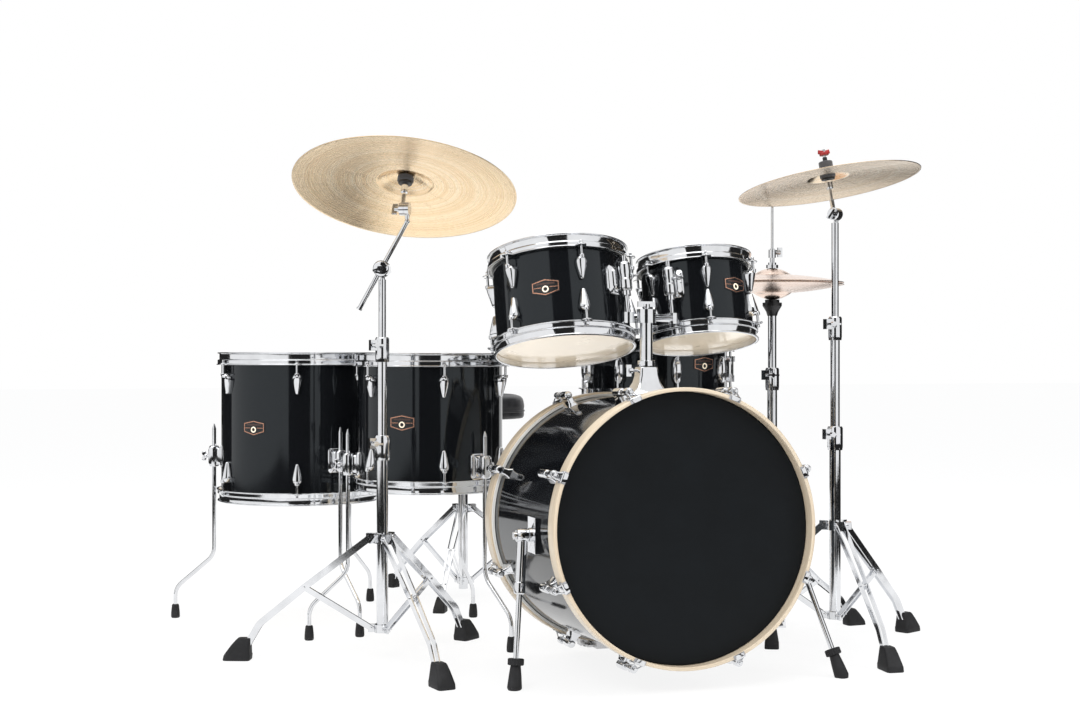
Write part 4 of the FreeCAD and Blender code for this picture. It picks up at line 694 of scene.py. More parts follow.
def badgeGrid(diameter, angle, height, width=64.0, tall=40.0):
    # six-sided plate on the shell; uv in millimetres
    w, h = width / 2, tall / 2
    u = np.linspace(-w, w, 33)
    share = np.abs(u) / w
    high, low = h * (1 - 0.32 * share), -h * (1 - 0.46 * share)
    v = low[None] + (high - low)[None] * np.linspace(0, 1, 17)[:, None]
    a = np.radians(angle) + np.repeat(u[None], 17, 0) / shellRadius(diameter)
    r = shellRadius(diameter) + 1.2
    return np.stack([r * np.cos(a), r * np.sin(a), height + v], -1), u, v


def addBadge(piece, diameter, angle, height, slots):
    # plate bent round the shell, its rim and back, and the air vent ring through it
    grid, u, v = badgeGrid(diameter, angle, height)
    piece.add(grid, slots[0], False, False, lambda i, j: np.stack([u[j], v[i, j]], -1))
    back = grid.copy()
    inner = (shellRadius(diameter) - 0.6) / (shellRadius(diameter) + 1.2)
    back[..., :2] *= inner
    rim = [np.concatenate([g[0], g[1:, -1], g[-1, -2::-1], g[-2:0:-1, 0]], 0) for g in (grid, back)]
    piece.add(np.array(rim), slots[1])
    piece.add(back[:, ::-1], slots[1], False, False)
    ring = rounded([(4.2, 0), (7.6, 0), (7.6, 1.7), (6.2, 2.6), (4.6, 2.2)], 0.7, 4, True)
    direction = polar(1, angle)
    spot = polar(shellRadius(diameter) + 0.2, angle, height - 4)
    piece.add(moved(lathe(ring, 28), standing(direction), spot), slots[2], closeRows=True)
    piece.add(moved(lathe([(0, 0.9), (4.4, 0.9)], 20), standing(direction), spot), slots[3])


def drumPieces(prefix, drum):
    # hoops, and the fittings: lugs and rods at every angle with their mirror images below, and the badge
    s, diameter, depth, lugs = drumSizes, drum["diameter"], drum["depth"], drum["lugs"]
    angles = [drum["first"] + k * 360 / lugs for k in range(lugs)]
    seat = depth / 2 - s["flesh"] + s["ring"]
    foot = seat - s["skirt"]
    length = min(s["lugLength"], foot - s["rodShown"] * 0.6 - 1)
    top = max(foot - s["rodShown"], length + 1)
    hoops = Piece(prefix + "_hoops_shown")
    hoop = hoopGrid(diameter, depth, angles)
    hoops.add(hoop, closeRows=True)
    hoops.add(flipped(hoop), closeRows=True)
    fittings = Piece(prefix + "_fittings_shown")
    turns = [turnMatrix((0, 0, 1), a) for a in angles]
    reach = shellRadius(diameter) + s["rodOut"]
    if drum["lugKind"] == "shield":
        lug = lugGrid(diameter, top, length)
        collar = moved(lathe(rounded([(0, -7), (5.6, -7), (6.6, 0.5), (5.4, 1.8), (0, 1.8)], 0.8, 3), 20), None,
                       (reach, 0, top - 2))
        castings, stem = [lug, flipped(lug), collar, flipped(collar)], foot + s["sheet"] - top + 12
    else:
        castings, stem = [ovalLug(diameter, 68.0)], foot + s["sheet"] - 34 + 10
    rods = rodGrids((reach, 0, foot + s["sheet"]), stem, (6.4, 4.2, 2.4, 3.4), (3, 3, 4, 9, 10, 10))
    for grid in castings + rods + [flipped(g) for g in rods]:
        fittings.addMany(grid, turns)
    addBadge(fittings, diameter, *drum["badge"], (1, 2, 3, 4))
    return hoops, fittings


def ovalLug(diameter, length):
    # centre lug of the snare: the same superellipse, pointed to both ends alike
    r = shellRadius(diameter)
    t = np.sin(np.linspace(-np.pi / 2, np.pi / 2, 25))
    wide = np.clip(1 - np.abs(t) ** 3.2, 0, 1) ** 0.5
    deep = np.clip(1 - 0.25 * t ** 2, 0, 1) * np.clip(wide * 2.5, 0, 1) ** 0.5
    phi = np.linspace(0, np.pi, 17)
    y = wide[:, None] * 12.5 * (np.sign(np.cos(phi)) * np.abs(np.cos(phi)) ** 0.75)[None]
    x = r - 1.0 + deep[:, None] * 21.5 * (np.abs(np.sin(phi)) ** 0.6)[None]
    z = np.repeat((-t * length / 2)[:, None], len(phi), 1)
    grid = np.stack([x, y, z], -1)
    base = grid[:, ::-1].copy()
    base[..., 0] = r - 3.5
    return np.concatenate([grid, base[:, [0, -1]]], 1)


def loft(sections):
    # rounded rectangles (width, height, corner) at distances along X, closed at both ends
    rings = []
    for x, width, height, corner in sections:
        ring = block(width, height, corner, 5)
        rings.append(np.stack([np.full(len(ring), x), ring[:, 0], ring[:, 1]], -1))
    return capped(rings)


def wingGrids(start, direction, stem, radius=3.0, span=26.0):
    # threaded stem, turned hub and a bow-tie of two wings that thin towards the hub
    turn = standing(direction)
    screw = lathe([(0, 0), (radius, 0), (radius, stem + 1), (0, stem + 1)], 16)
    hub = lathe(rounded([(0, stem), (radius + 1.8, stem), (radius + 3, stem + 2), (radius + 3, stem + 6.5),
                         (radius + 1, stem + 9), (0, stem + 9)], [0, 0.6, 1, 1.2, 1, 0], 4), 24)
    t = np.linspace(-1, 1, 23)
    path = np.stack([t * span / 2, np.zeros(23), stem + 8.2 + 2.2 * np.abs(t)], -1)
    tall = 3.6 + 2.2 * np.sqrt(np.clip(1 - (np.abs(t) * 1.9 - 1.05) ** 2, 0, 1))
    end = np.sqrt(np.clip(1 - np.clip((np.abs(t) - 0.8) / 0.2, 0, 1) ** 2, 0.02, 1))
    size = np.stack([(1.35 + 0.65 * np.abs(t)) * end, tall * end], -1)
    wing = sweep(circle(1.0, 16), path, size, up=(0, 0, 1))
    return [moved(g, turn, start) for g in (screw, hub, wing)]


def legBracketGrids(diameter, middle):
    # cast foot on the shell that narrows to a ribbed sleeve round the leg
    r = shellRadius(diameter)
    reach = r + legKit["out"]
    body = loft([(r - 2.5, 44, 62, 9), (r + 2.5, 44, 62, 9), (r + 4.6, 40, 57, 9), (r + 6.4, 25, 47, 8),
                 (r + 12, 20, 43, 7), (reach - 8, 21, 47, 7), (reach - 3, 26, 52, 6), (reach + 5, 28, 53, 6),
                 (reach + 10.5, 24, 50, 7), (reach + 13.4, 15, 40, 6)])
    sleeve = lathe(rounded([(5.3, -27), (11.5, -27), (13.2, -23), (13.2, -14), (12.0, -9), (12.0, 9), (13.2, 14),
                            (13.2, 23), (11.5, 27), (5.3, 27)], [0.5, 1.5, 2, 2, 3, 3, 2, 2, 1.5, 0.5], 4, True), 36)
    grids = [body, moved(sleeve, None, (reach, 0, 0))] + wingGrids((reach + 5.2, 0, 0), (1, 0, 0), 12)
    return [moved(g, None, (0, 0, middle)) for g in grids]


def tomBracketGrids(diameter, rise):
    # broad foot, waisted neck and the barrel that the arm goes through
    r = shellRadius(diameter)
    reach = r + 34.0
    body = loft([(r - 3, 43, 65, 12), (r + 3.5, 43, 65, 12), (r + 5.7, 38, 60, 12), (r + 8, 25, 50, 10),
                 (r + 15, 19, 44, 8), (r + 23, 22, 48, 8), (reach, 23, 51, 6)])
    barrel = lathe(rounded([(5.4, -33), (11.0, -33), (13.8, -27), (13.8, -10), (12.6, -4), (12.6, 4), (13.8, 10),
                            (13.8, 27), (11.0, 33), (5.4, 33)], [0.6, 3, 3, 2, 2, 2, 2, 3, 3, 0.6], 5, True), 40)
    grids = [body, moved(barrel, None, (reach, 0, 0))] + wingGrids((reach, 5.4, 6), (0, 1, 0), 14, 3.0, 30.0)
    return [moved(g, None, (0, 0, rise)) for g in grids]


legKit = {"radius": 5.2, "out": 25.0, "top": 510.0, "point": 14.0, "elbow": 165.0, "kick": 78.0, "bend": 22.0,
          "bracket": 425.0, "angles": {"floor14": (174, -64, 54), "floor16": (160, -73, 45)},
          "feet": {"floor14": 295.0, "floor16": 330.0}}
# slot 3 (the badge vent ring) and the toms' bottom heads take the cream film, whose glow is painted light
fittingSlots = ["chrome", "badge", "blackPlastic", "glowingCreamFilm", "blackPlastic"]
tomKind = {"lugs": 6, "lugKind": "shield", "films": ["whiteFilm", "glowingCreamFilm"], "headSlot": "cream_head"}
rackToms = {
    "tom12": {"diameter": 12 * inch, "depth": 8 * inch, "first": -150.3, "centre": (-135, 165, 808), "tilt": 14.0,
              "badge": (-121, -2), "bracket": (-57.5, 17.0)},
    "tom10": {"diameter": 10 * inch, "depth": 7 * inch, "first": -162.0, "centre": (203, 176, 815), "tilt": 12.0,
              "badge": (-68, 11), "bracket": (-135.0, 17.0)},
}


def dressDrum(name, body, nodes, drum, brackets, hoopPieces=True):
    # shell, two heads, hoops and fittings of one drum; each bracket is (its grids, its angle round the shell)
    tilt, centre = -drum.get("tilt", 0.0), drum["centre"]
    shellNode, headNode, hoopNode, fittingNode = ([node] for node in nodes)
    hoops, fittings = drumPieces(name, drum)
    for grids, angle in brackets:
        for grid in grids:
            fittings.add(moved(grid, turnMatrix((0, 0, 1), angle)))
    shellPiece(name + "_shell_shown", body, drum["diameter"], drum["depth"], tilt, centre, shellNode)
    head = headGrid(drum["diameter"], drum["depth"], drumSizes["flesh"])
    heads = Piece(name + "_heads_shown").add(head, 0).add(flipped(head), len(drum["films"]) - 1)
    heads.finish(body, drum["films"], headNode, drum["headSlot"], tilt, centre)
    if hoopPieces:
        hoops.finish(body, ["chrome"], hoopNode, "chrome", tilt, centre)
    else:
        fromCad(hoopNode[0], body)
    fittings.finish(body, fittingSlots, fittingNode, "chrome", tilt, centre, smoothAngle=50)


for name, tom in rackToms.items():
    angle, rise = tom["bracket"]
    dressDrum(name, name, [name + end for end in ("_shell", "_heads", "_hoops", "_fittings")], {**tomKind, **tom},
              [(tomBracketGrids(tom["diameter"], rise), angle)])
print("rack toms made")

floorToms = {
    "floor14": {"diameter": 14 * inch, "depth": 12 * inch, "first": -153.6, "centre": (-348, 545, 528),
                "badge": (-125.6, 2)},
    "floor16": {"diameter": 16 * inch, "depth": 14 * inch, "first": -161.0, "centre": (-612, 901, 505),
                "badge": (-133.6, 2)},
}
for name, tom in floorToms.items():
    bracket = legBracketGrids(tom["diameter"], legKit["bracket"] - tom["centre"][2])
    dressDrum(name, "kit", ["floor_tom_" + end for end in ("shells", "heads", "hoops", "fittings")],
              {**tomKind, **tom}, [(bracket, angle) for angle in legKit["angles"][name]])
print("floor toms made")

snareKit = {"diameter": 14 * inch, "depth": 5 * inch, "first": -186.7, "centre": (236, 509, 653), "badge": (-71, 14),
            "lugs": 8, "lugKind": "oval", "films": ["whiteFilm"], "headSlot": "white_head"}
dressDrum("snare", "snare", ["snare_shell", "snare_heads", "snare_hoops", "snare_fittings"], snareKit, [], False)
fromCad("snare_fittings", "snare", name="snare_strainer",
        keep=lambda middle, size: (62 < size[2] < 66 or 34 < size[2] < 38) and max(size[:2]) > 18)
fromCad("snare_wires", "snare", ["wire"], "steel_wire", bevel=0.0)
fromCad("snare_throwoff_lever", "snare_throwoff", bevel=0.8)
fromCad("snare_basket", "snare", bevel=0.8)
print("snare drum made")

# bass drum
bass = {"diameter": 22 * inch, "depth": 18 * inch, "centre": (0, 0, 324), "turn": 90 - 2.4, "hoopWall": 8.0,
        "hoopWidth": 38.0, "hoopInset": 12.0, "rodOut": 26.0, "hoopSteps": 256, "hoopLength": 1.8}
bassRadius = shellRadius(bass["diameter"])
shellPiece("bass_shell_shown", "kit", bass["diameter"], bass["depth"], bass["turn"], bass["centre"], ("bass_shell",))
head = headGrid(bass["diameter"], bass["depth"], bass["hoopInset"] + 8)
Piece("bass_front_head_shown").add(head).finish("kit", ["frontFilm"], ("bass_front_head",), "black_head",
                                                bass["turn"], bass["centre"])
Piece("bass_batter_head_shown").add(flipped(head)).finish("kit", ["whiteFilm"], ("bass_batter_head",),
                                                          "white_head", bass["turn"], bass["centre"])


def bassHoopProfile():
    # rectangle of wall by width with its corners rounded over 2.2 mm
    inner = bassRadius + 3.0
    low = bass["depth"] / 2 - bass["hoopInset"]
    corners = [(inner, low), (inner + bass["hoopWall"], low), (inner + bass["hoopWall"], low + bass["hoopWidth"]),
               (inner, low + bass["hoopWidth"])]
    return rounded(corners, 2.2, 5, True)


def walked(points):
    # length along the points up to each of them
    return np.concatenate([[0], np.cumsum(np.linalg.norm(np.diff(points, axis=0), axis=1))])


def grainUv(row, col):
    # (metres round the hoop, metres round its section), so that the grain runs along the wood
    return np.stack([col / bass["hoopSteps"] * bass["hoopLength"], walk[row] / 1000.0], -1)


hoops = Piece("bass_hoops_shown")
profile = bassHoopProfile()
walk = walked(np.vstack([profile, profile[:1]]))
hoop = lathe(profile, bass["hoopSteps"])
hoops.add(hoop, 0, True, True, grainUv)
hoops.add(flipped(hoop), 0, True, True, grainUv)
hoops.finish("kit", ["maple"], ("bass_hoops",), "maple", bass["turn"], bass["centre"])


def clawGrids():
    # hook strap over the hoop, rubber pad, gussets and the rod's boss
    edge = bass["depth"] / 2
    face = edge - bass["hoopInset"] + bass["hoopWidth"]
    inner = bassRadius + 3.0
    outer = inner + bass["hoopWall"]
    reach = bassRadius + bass["rodOut"]
    path = rounded([(inner + 0.5, 0, face + 3.1), (outer + 2.4, 0, face + 3.1), (outer + 2.4, 0, face - 34)], 3.0, 6)
    grow = np.interp(np.linspace(0, 1, len(path)), [0, 0.25, 0.7, 1], [0.72, 0.95, 1.0, 0.72])
    strap = sweep(block(3.0, 24.0, 1.2, 3), path, np.stack([np.ones_like(grow), grow], -1), up=(0, 1, 0.0))
    pad = sweep(block(1.6, 26.0, 0.6, 3), rounded([(inner + 0.3, 0, face + 0.8), (outer + 0.8, 0, face + 0.8),
                                                   (outer + 0.8, 0, face - 18)], 1.6, 5), up=(0, 1, 0.0))
    boss = moved(lathe(rounded([(3.4, -34), (8.6, -34), (8.6, -16.2), (3.4, -16.2)], 1.0, 4, True), 24), None,
                 (reach, 0, face))
    webs = []
    for side in (-1, 1):
        line = [(outer + 3, side * 8.5, face - 1), (reach - 3, side * 6.0, face - 15), (reach, side * 6.0, face - 26)]
        webs.append(sweep(block(3.0, 2.6, 0.7, 3), rounded(line, 5.0, 5), up=(0, 1, 0.0)))
    return strap, pad, boss, webs


def bassLugGrids():
    # barrel with rounded ends on a waisted foot
    face = bass["depth"] / 2 - bass["hoopInset"] + bass["hoopWidth"]
    top = face - 56
    reach = bassRadius + bass["rodOut"]
    barrel = moved(lathe(rounded([(0, -46), (6.5, -46), (9.2, -42), (9.2, -6), (7.4, 0), (0, 0)],
                                 [0, 2, 3, 3, 2, 0], 5), 28), None, (reach, 0, top))
    levels = np.array([0.0, 0.12, 0.45, 0.8, 1.0])
    wide = np.array([12.5, 12.0, 8.6, 7.6, 7.8])
    long = np.array([25.5, 25.0, 22.0, 20.0, 19.0])
    rings = []
    for level, w, l in zip(levels, wide, long):
        ring = block(2 * w, 2 * l, 4.0, 5)
        x = np.full(len(ring), bassRadius - 2.5 + level * 20.5)
        rings.append(np.stack([x, ring[:, 0], ring[:, 1] + top - 26], -1))
    return barrel, capped(rings)


bassFace = bass["depth"] / 2 - bass["hoopInset"] + bass["hoopWidth"]
bassRods = rodGrids((bassRadius + bass["rodOut"], 0, bassFace - 16), 60, (6.8, 4.4, 2.2, 3.2),
                    (2.8, 2.8, 3.6, 9, 10, 10))
turns = [turnMatrix((0, 0, 1), 22.5 + 45 * k) for k in range(8)]
claws = Piece("bass_claws_shown")
strap, pad, boss, webs = clawGrids()
for turnOver in (np.array, flipped):
    claws.addMany(turnOver(strap), turns)
    claws.addMany(turnOver(pad), turns, 1)
    claws.addMany(turnOver(boss), turns, 0, True)
    for grid in webs + bassRods:
        claws.addMany(turnOver(grid), turns)
claws.finish("kit", ["chrome", "greyRubber"], ("bass_claws",), "chrome", bass["turn"], bass["centre"])
lugs = Piece("bass_lugs_shown")
for grid in bassLugGrids():
    lugs.addMany(grid, turns)
    lugs.addMany(flipped(grid), turns)
lugs.finish("kit", ["chrome"], ("bass_lugs",), "chrome", bass["turn"], bass["centre"], smoothAngle=50)
fromCad("bass_brackets", "kit", bevel=1.2,
        keep=lambda middle, size: max(size) < 100 and middle[2] < 500 or max(size) < 60)
mount = {"place": (0, -20, 0), "levels": [(572, 96, 77), (603, 96, 77), (606, 94, 75), (610, 82, 68), (618, 64, 58),
                                          (630, 51, 49), (645, 43.5, 43.5), (661, 41.5, 41.5), (663.5, 39, 39)]}
rings = []
for height, width, deep in mount["levels"]:
    ring = block(width, deep, 7, 6)
    rings.append(np.stack([ring[:, 0], ring[:, 1], np.full(len(ring), float(height))], -1))
base = Piece("tom_mount_shown").add(capped(rings))
base.add(lathe(rounded([(14.1, 663), (19, 663), (19, 678), (14.1, 678)], [0, 1, 1.6, 1], 4, True), 48), 0, True)
base.finish("kit", ["chrome"], ("bass_brackets",), "chrome", centre=mount["place"], smoothAngle=30)
print("bass drum made")


# spurs, post and arms
def alongLine(start, end, profile, steps=28):
    # lathe about a line: profile is (r, distance from start)
    start, end = np.asarray(start, float), np.asarray(end, float)
    way = (end - start) / np.linalg.norm(end - start)
    return moved(lathe(profile, steps), standing(way), start)


def knurled(radius, low, high, ribs, depth, steps):
    # cylinder whose radius goes radius + depth cos(ribs a)
    z = np.array([low, low, low + 1.2, high - 1.2, high, high])
    a = np.linspace(0, 2 * np.pi, steps, endpoint=False)
    base = np.array([0, radius - 1.4, radius, radius, radius - 1.4, 0])
    wave = np.where(base[:, None] > radius - 0.1, depth * np.cos(ribs * a)[None], 0)
    r = base[:, None] + wave
    return np.stack([r * np.cos(a), r * np.sin(a), np.repeat(z[:, None], steps, 1)], -1)


spurs = {"left_spur": (-1, (-332, -125, 0)), "right_spur": (1, (373, -215, 0))}
for name, (side, foot) in spurs.items():
    pivot = np.array([side * (bassRadius + 26), -90.0, 324 + 90 * math.tan(math.radians(2.4)) - 14])
    foot = np.array(foot, float)
    way = (foot - pivot) / np.linalg.norm(foot - pivot)
    reach = np.linalg.norm(foot - pivot)
    piece = Piece(name + "_shown")
    hub = rounded([(5.1, -12.5), (14, -12.5), (14, 12.5), (5.1, 12.5)], 1.6, 4, True)
    piece.add(moved(lathe(hub, 40), standing((1, 0, 0)), pivot), 0, closeRows=True)
    sleeve = [(0, 11), (11, 11), (11, 96), (12.2, 98), (12.2, 120), (8, 122), (0, 122)]
    piece.add(alongLine(pivot, foot, rounded(sleeve, 1.4, 4), 40))
    piece.add(alongLine(pivot, foot, [(0, 110), (6, 110), (6, reach - 30), (0, reach - 30)], 24))
    turn = standing(way)
    piece.add(moved(knurled(16.4, reach - 64, reach - 50, 18, 0.6, 144), turn, pivot), 1)
    tip = alongLine(pivot, foot, rounded([(0, reach - 51), (10.5, reach - 51), (13.2, reach - 30), (15.6, reach - 4),
                                          (12, reach + 5), (0, reach + 5)], 2.0, 5), 40)
    tip[..., 2] = np.maximum(tip[..., 2], 0.0)
    piece.add(tip, 1)
    piece.finish(name, ["chrome", "rubber"], (name,), "chrome")
for node, bevel in (("tom_post", 1.0), ("tom12_arm", 0.6), ("tom10_arm", 0.6)):
    fromCad(node, node, bevel=bevel)

# floor tom legs
for name, tom in floorToms.items():
    reach = shellRadius(tom["diameter"]) + legKit["out"]
    foot = legKit["feet"][name]
    path = rounded([(reach, 0, legKit["top"] - legKit["point"]), (reach, 0, legKit["elbow"]),
                    (foot, 0, legKit["kick"]), (foot, 0, 20)], legKit["bend"], 9)
    tube = sweep(circle(legKit["radius"], 20), path, up=(0, 1, 0))
    point = moved(lathe(rounded([(0, -1), (5.2, -1), (5.2, 1), (1.4, 13.4), (0, 14)], [0, 0, 1, 1, 0], 4), 20), None,
                  (reach, 0, legKit["top"] - legKit["point"]))
    tip = moved(lathe(rounded([(0, 0), (9.6, 0), (11.4, 3), (11.2, 14), (9.2, 33), (7.6, 36), (0, 36)],
                              [0, 1.5, 2, 2, 2, 1, 0], 4), 28), None, (foot, 0, 0))
    for letter, angle in zip("abc", legKit["angles"][name]):
        node = name + "_leg_" + letter
        turn = turnMatrix((0, 0, 1), angle)
        piece = Piece(node + "_shown")
        piece.add(moved(tube, turn)).add(moved(point, turn)).add(moved(tip, turn), 1)
        piece.finish(node, ["chrome", "rubber"], (node,), "chrome", centre=(tom["centre"][0], tom["centre"][1], 0))
print("spurs, post and legs made")


# cymbals
def arcThrough(first, middle, last, radii):
    # heights at given radii of the circle through three (r, z) points
    (ax, ay), (bx, by), (cx, cy) = first, middle, last
    d = 2 * (ax * (by - cy) + bx * (cy - ay) + cx * (ay - by))
    ux = ((ax ** 2 + ay ** 2) * (by - cy) + (bx ** 2 + by ** 2) * (cy - ay) + (cx ** 2 + cy ** 2) * (ay - by)) / d
    uy = ((ax ** 2 + ay ** 2) * (cx - bx) + (bx ** 2 + by ** 2) * (ax - cx) + (cx ** 2 + cy ** 2) * (bx - ax)) / d
    reach = math.hypot(ax - ux, ay - uy)
    return uy + math.copysign(1, ay - uy) * np.sqrt(reach ** 2 - (np.asarray(radii) - ux) ** 2)


def cymbalProfile(diameter, bell, bow, sheet=1.6, hole=6.5):
    # bell arc, bow arc, rolled lip, and the same way back underneath
    edge, (radius, height) = diameter / 2, bell
    bellR = np.linspace(hole, radius, 20)
    bowR = np.linspace(radius, edge - 0.8, 48)[1:]
    bellZ = arcThrough((hole, 0), (radius * 0.62, -height * 0.36), (radius, -height), bellR)
    bowZ = arcThrough((radius, -height), ((radius + edge) / 2, -height - bow * 0.37), (edge, -height - bow), bowR)
    r, z = np.concatenate([bellR, bowR]), np.concatenate([bellZ, bowZ])
    lip = [(edge - 0.2, z[-1] + sheet * 0.85), (edge, z[-1] + sheet * 0.5), (edge - 0.2, z[-1] + sheet * 0.15)]
    return np.vstack([np.stack([r, z + sheet], -1), lip, np.stack([r, z], -1)[::-1]])


def cymbalPiece(node, body, diameter, bell, bow, seat, way, finish, over=False):
    # lathe of the profile about way through seat; uv is (turn, radius in metres)
    profile = cymbalProfile(diameter, bell, bow)
    if over:
        profile = profile * [1, -1]
    steps = 240
    grid = moved(lathe(profile, steps), standing(way), seat)
    r = np.append(profile[:, 0], profile[0, 0]) / 1000.0
    piece = Piece(node + "_shown")
    piece.add(grid, 0, True, True, lambda i, j: np.stack([j / steps, r[i]], -1))
    return piece.finish(body, [finish], (node,), "cymbal_bronze", smoothAngle=50)


def leanWay(lean):
    # unit vector along (tan side lean, tan fore lean, 1)
    way = np.array([math.tan(math.radians(lean[1])), math.tan(math.radians(lean[0])), 1.0])
    return way / np.linalg.norm(way)


ride = {"place": (-526.5, 265.7), "boomHeight": 884.0, "boomAbove": 121.0, "boomLean": 28.8, "boomHeading": -20.0,
        "neck": 28.0, "tiltHeading": -28.4, "rod": 85.0, "lean": (18.6, 10.3), "bell": (63.0, 20.0), "bow": 18.0}
crash = {"place": (535.0, 123.0), "height": 1024.0, "tiltHeading": 36.0, "rod": 105.0, "lean": (8.3, -6.1),
         "bell": (50.0, 17.0), "bow": 17.0}
hat = {"place": (488.0, 365.0), "lip": 868.0, "gap": 3.0, "bell": (48.0, 17.0), "bow": 19.0, "pedal": 64.0,
       "cup": 800.0, "seat": 821.0, "clutch": (898.0, 917.0)}
tilter = {"halfGap": 0.15, "halfDisc": 5.5, "boomAside": 14.3}
boomCover = {"radius": 17.6, "out": 23.15}
stackKit = {"from": -44.2, "screw": 3.5, "top": 52.0}

lean = math.radians(ride["boomLean"])
boomWay = polar(math.sin(lean), ride["boomHeading"], math.cos(lean))
boomEnd = (np.array([*ride["place"], ride["boomHeight"]]) - polar(tilter["boomAside"], ride["boomHeading"] + 90)
           + boomWay * ride["boomAbove"])
ridePivot = boomEnd + [0, 0, ride["neck"]] - polar(tilter["halfGap"] + tilter["halfDisc"], ride["tiltHeading"])
crashPivot = np.array([*crash["place"], crash["height"]])
stacks = {}
for name, kit, pivot, diameter in (("ride", ride, ridePivot, 20 * inch), ("crash", crash, crashPivot, 17 * inch)):
    way = leanWay(kit["lean"])
    base = pivot - polar(tilter["halfGap"] + tilter["halfDisc"], kit["tiltHeading"])
    seat = base + way * kit["rod"]
    stacks[name] = (seat, way)
    cymbalPiece(name + "_cymbal", name + "_cymbal", diameter, kit["bell"], kit["bow"], seat, way, name)
rise = hat["bell"][1] + hat["bow"]
upperHat = np.array([*hat["place"], hat["lip"] + hat["gap"] / 2 + rise])
lowerHat = np.array([*hat["place"], hat["lip"] - hat["gap"] / 2 - rise])
cymbalPiece("hihat_top_cymbal", "hihat_pull", 14 * inch, hat["bell"], hat["bow"], upperHat, (0, 0, 1), "hat")
cymbalPiece("hihat_bottom_cymbal", "kit", 14 * inch, hat["bell"], hat["bow"], lowerHat, (0, 0, 1), "hat", over=True)
print("cymbals made")


# stands
def stackTrim(name):
    # true for a face whose middle lies beyond the screw's start, where turned parts take over
    seat, way = stacks[name]
    return lambda middles: (middles - seat) @ way > stackKit["from"]


def seatRule(middle, size):
    # felt above the hi-hat's seat cup, black plastic at the cup, chrome elsewhere
    if middle[2] > hat["seat"] and max(size) < 40:
        return 1
    return 2 if hat["cup"] < middle[2] < hat["seat"] and max(size) < 60 else 0


def clutchRule(middle, size):
    # the thin discs of the hi-hat's clutch are felt
    return int(hat["clutch"][0] < middle[2] < hat["clutch"][1] and 20 < max(size) < 40 and size[2] < 9)


def tilterStack(name, body, node, nutSlot):
    # turned parts about the cymbal's own axis, each a profile of (r, distance from the seat)
    seat, way = stacks[name]
    turn, k = standing(way), stackKit
    piece = Piece(name + "_tilter_stack")
    screw = [(0, k["from"] - 40), (k["screw"], k["from"] - 40), (k["screw"], k["top"]), (0, k["top"])]
    stem = rounded([(0, -44), (8, -44), (8, -22), (0, -22)], [0, 1.2, 0.6, 0], 4)
    cup = rounded([(0, -22), (16, -22), (16.4, -17), (0, -17)], [0, 1.5, 0.8, 0], 4)
    sleeve = [(0, -17.2), (5.2, -17.2), (5.2, 32.6), (0, 32.6)]
    lower = rounded([(5.0, -17), (18.5, -17), (18.5, -4), (12, -2.2), (5.0, -1)], [0.3, 2.5, 2.5, 2, 0.3], 5, True)
    upper = rounded([(5.0, 2.2), (16.5, 2.2), (16.5, 22.9), (5.0, 22.9)], [0.3, 2.5, 3.5, 0.3], 5, True)
    nut = rounded([(0, 37.6), (11, 37.6), (11, 44), (7, 45.6), (0, 45.6)], [0, 1.2, 1.5, 1.5, 0], 4)
    for profile, slot, ring in ((screw, 0, False), (stem, 0, False), (cup, 2, False), (sleeve, 2, False),
                                (lower, 1, True), (upper, 1, True), (nut, nutSlot, False)):
        piece.add(moved(lathe(profile, 36), turn, seat), slot, closeRows=ring)
    line = [(-14.5, 0, 46.6), (-8, 0, 45.4), (0, 0, 44.6), (8, 0, 45.4), (14.5, 0, 46.6)]
    wing = sweep(block(6.2, 9.6, 2.6, 4), line, [(0.7, 1.05), (1, 1.0), (1, 0.9), (1, 1.0), (0.7, 1.05)])
    piece.add(moved(wing, turn, seat), nutSlot)
    piece.finish(body, ["chrome", "felt", "blackPlastic", "redPlastic"], (node,), "chrome")


for node, body in (("ride_stand_base", "kit"), ("ride_mid_tube", "ride_mid"), ("ride_top_tube", "ride_top"),
                   ("ride_boom", "ride_boom"), ("crash_stand_base", "kit"), ("crash_mid_tube", "crash_mid"),
                   ("crash_top_tube", "crash_top"), ("snare_stand_base", "kit"), ("throne_base", "kit")):
    fromCad(node, body, bevel=0.6)
# domed cover on the boom clamp, with the wing bolt's stem through its middle
boomAxis = polar(1, ride["boomHeading"] + 90)
cover = rounded([(3.4, -0.6), (boomCover["radius"], -0.6), (boomCover["radius"] - 1.4, 1.2), (12, 2.7), (7, 3.3),
                 (3.4, 3.4)], [0.2, 0.4, 1.2, 4, 2, 0.4], 5, True)
spot = np.array([*ride["place"], ride["boomHeight"]]) - boomAxis * boomCover["out"]
piece = Piece("ride_boom_cover").add(moved(lathe(cover, 48), standing(-boomAxis), spot), closeRows=True)
piece.finish("ride_boom", ["chrome"], ("ride_boom",), "chrome", smoothAngle=50)
for name, nutSlot in (("ride", 0), ("crash", 3)):
    node, body = name + "_cymbal_tilter", name + "_tilter"
    fromCad(node, body, trim=stackTrim(name), bevel=0.6)
    tilterStack(name, body, node, nutSlot)
hatFinishes = ["chrome", "felt", "blackPlastic"]
fromCad("hihat_stand_base", "kit", hatFinishes, rule=seatRule, bevel=0.6)
fromCad("hihat_rod", "hihat_pull", hatFinishes, rule=clutchRule, bevel=0.4)
for node, body, bevel in (("hihat_footboard", "hihat_footboard", 1.0), ("kick_pedal_frame", "kit", 0.8),
                          ("kick_footboard", "kick_footboard", 1.0)):
    fromCad(node, body, ["board"], "pedal_metal", bevel=bevel)


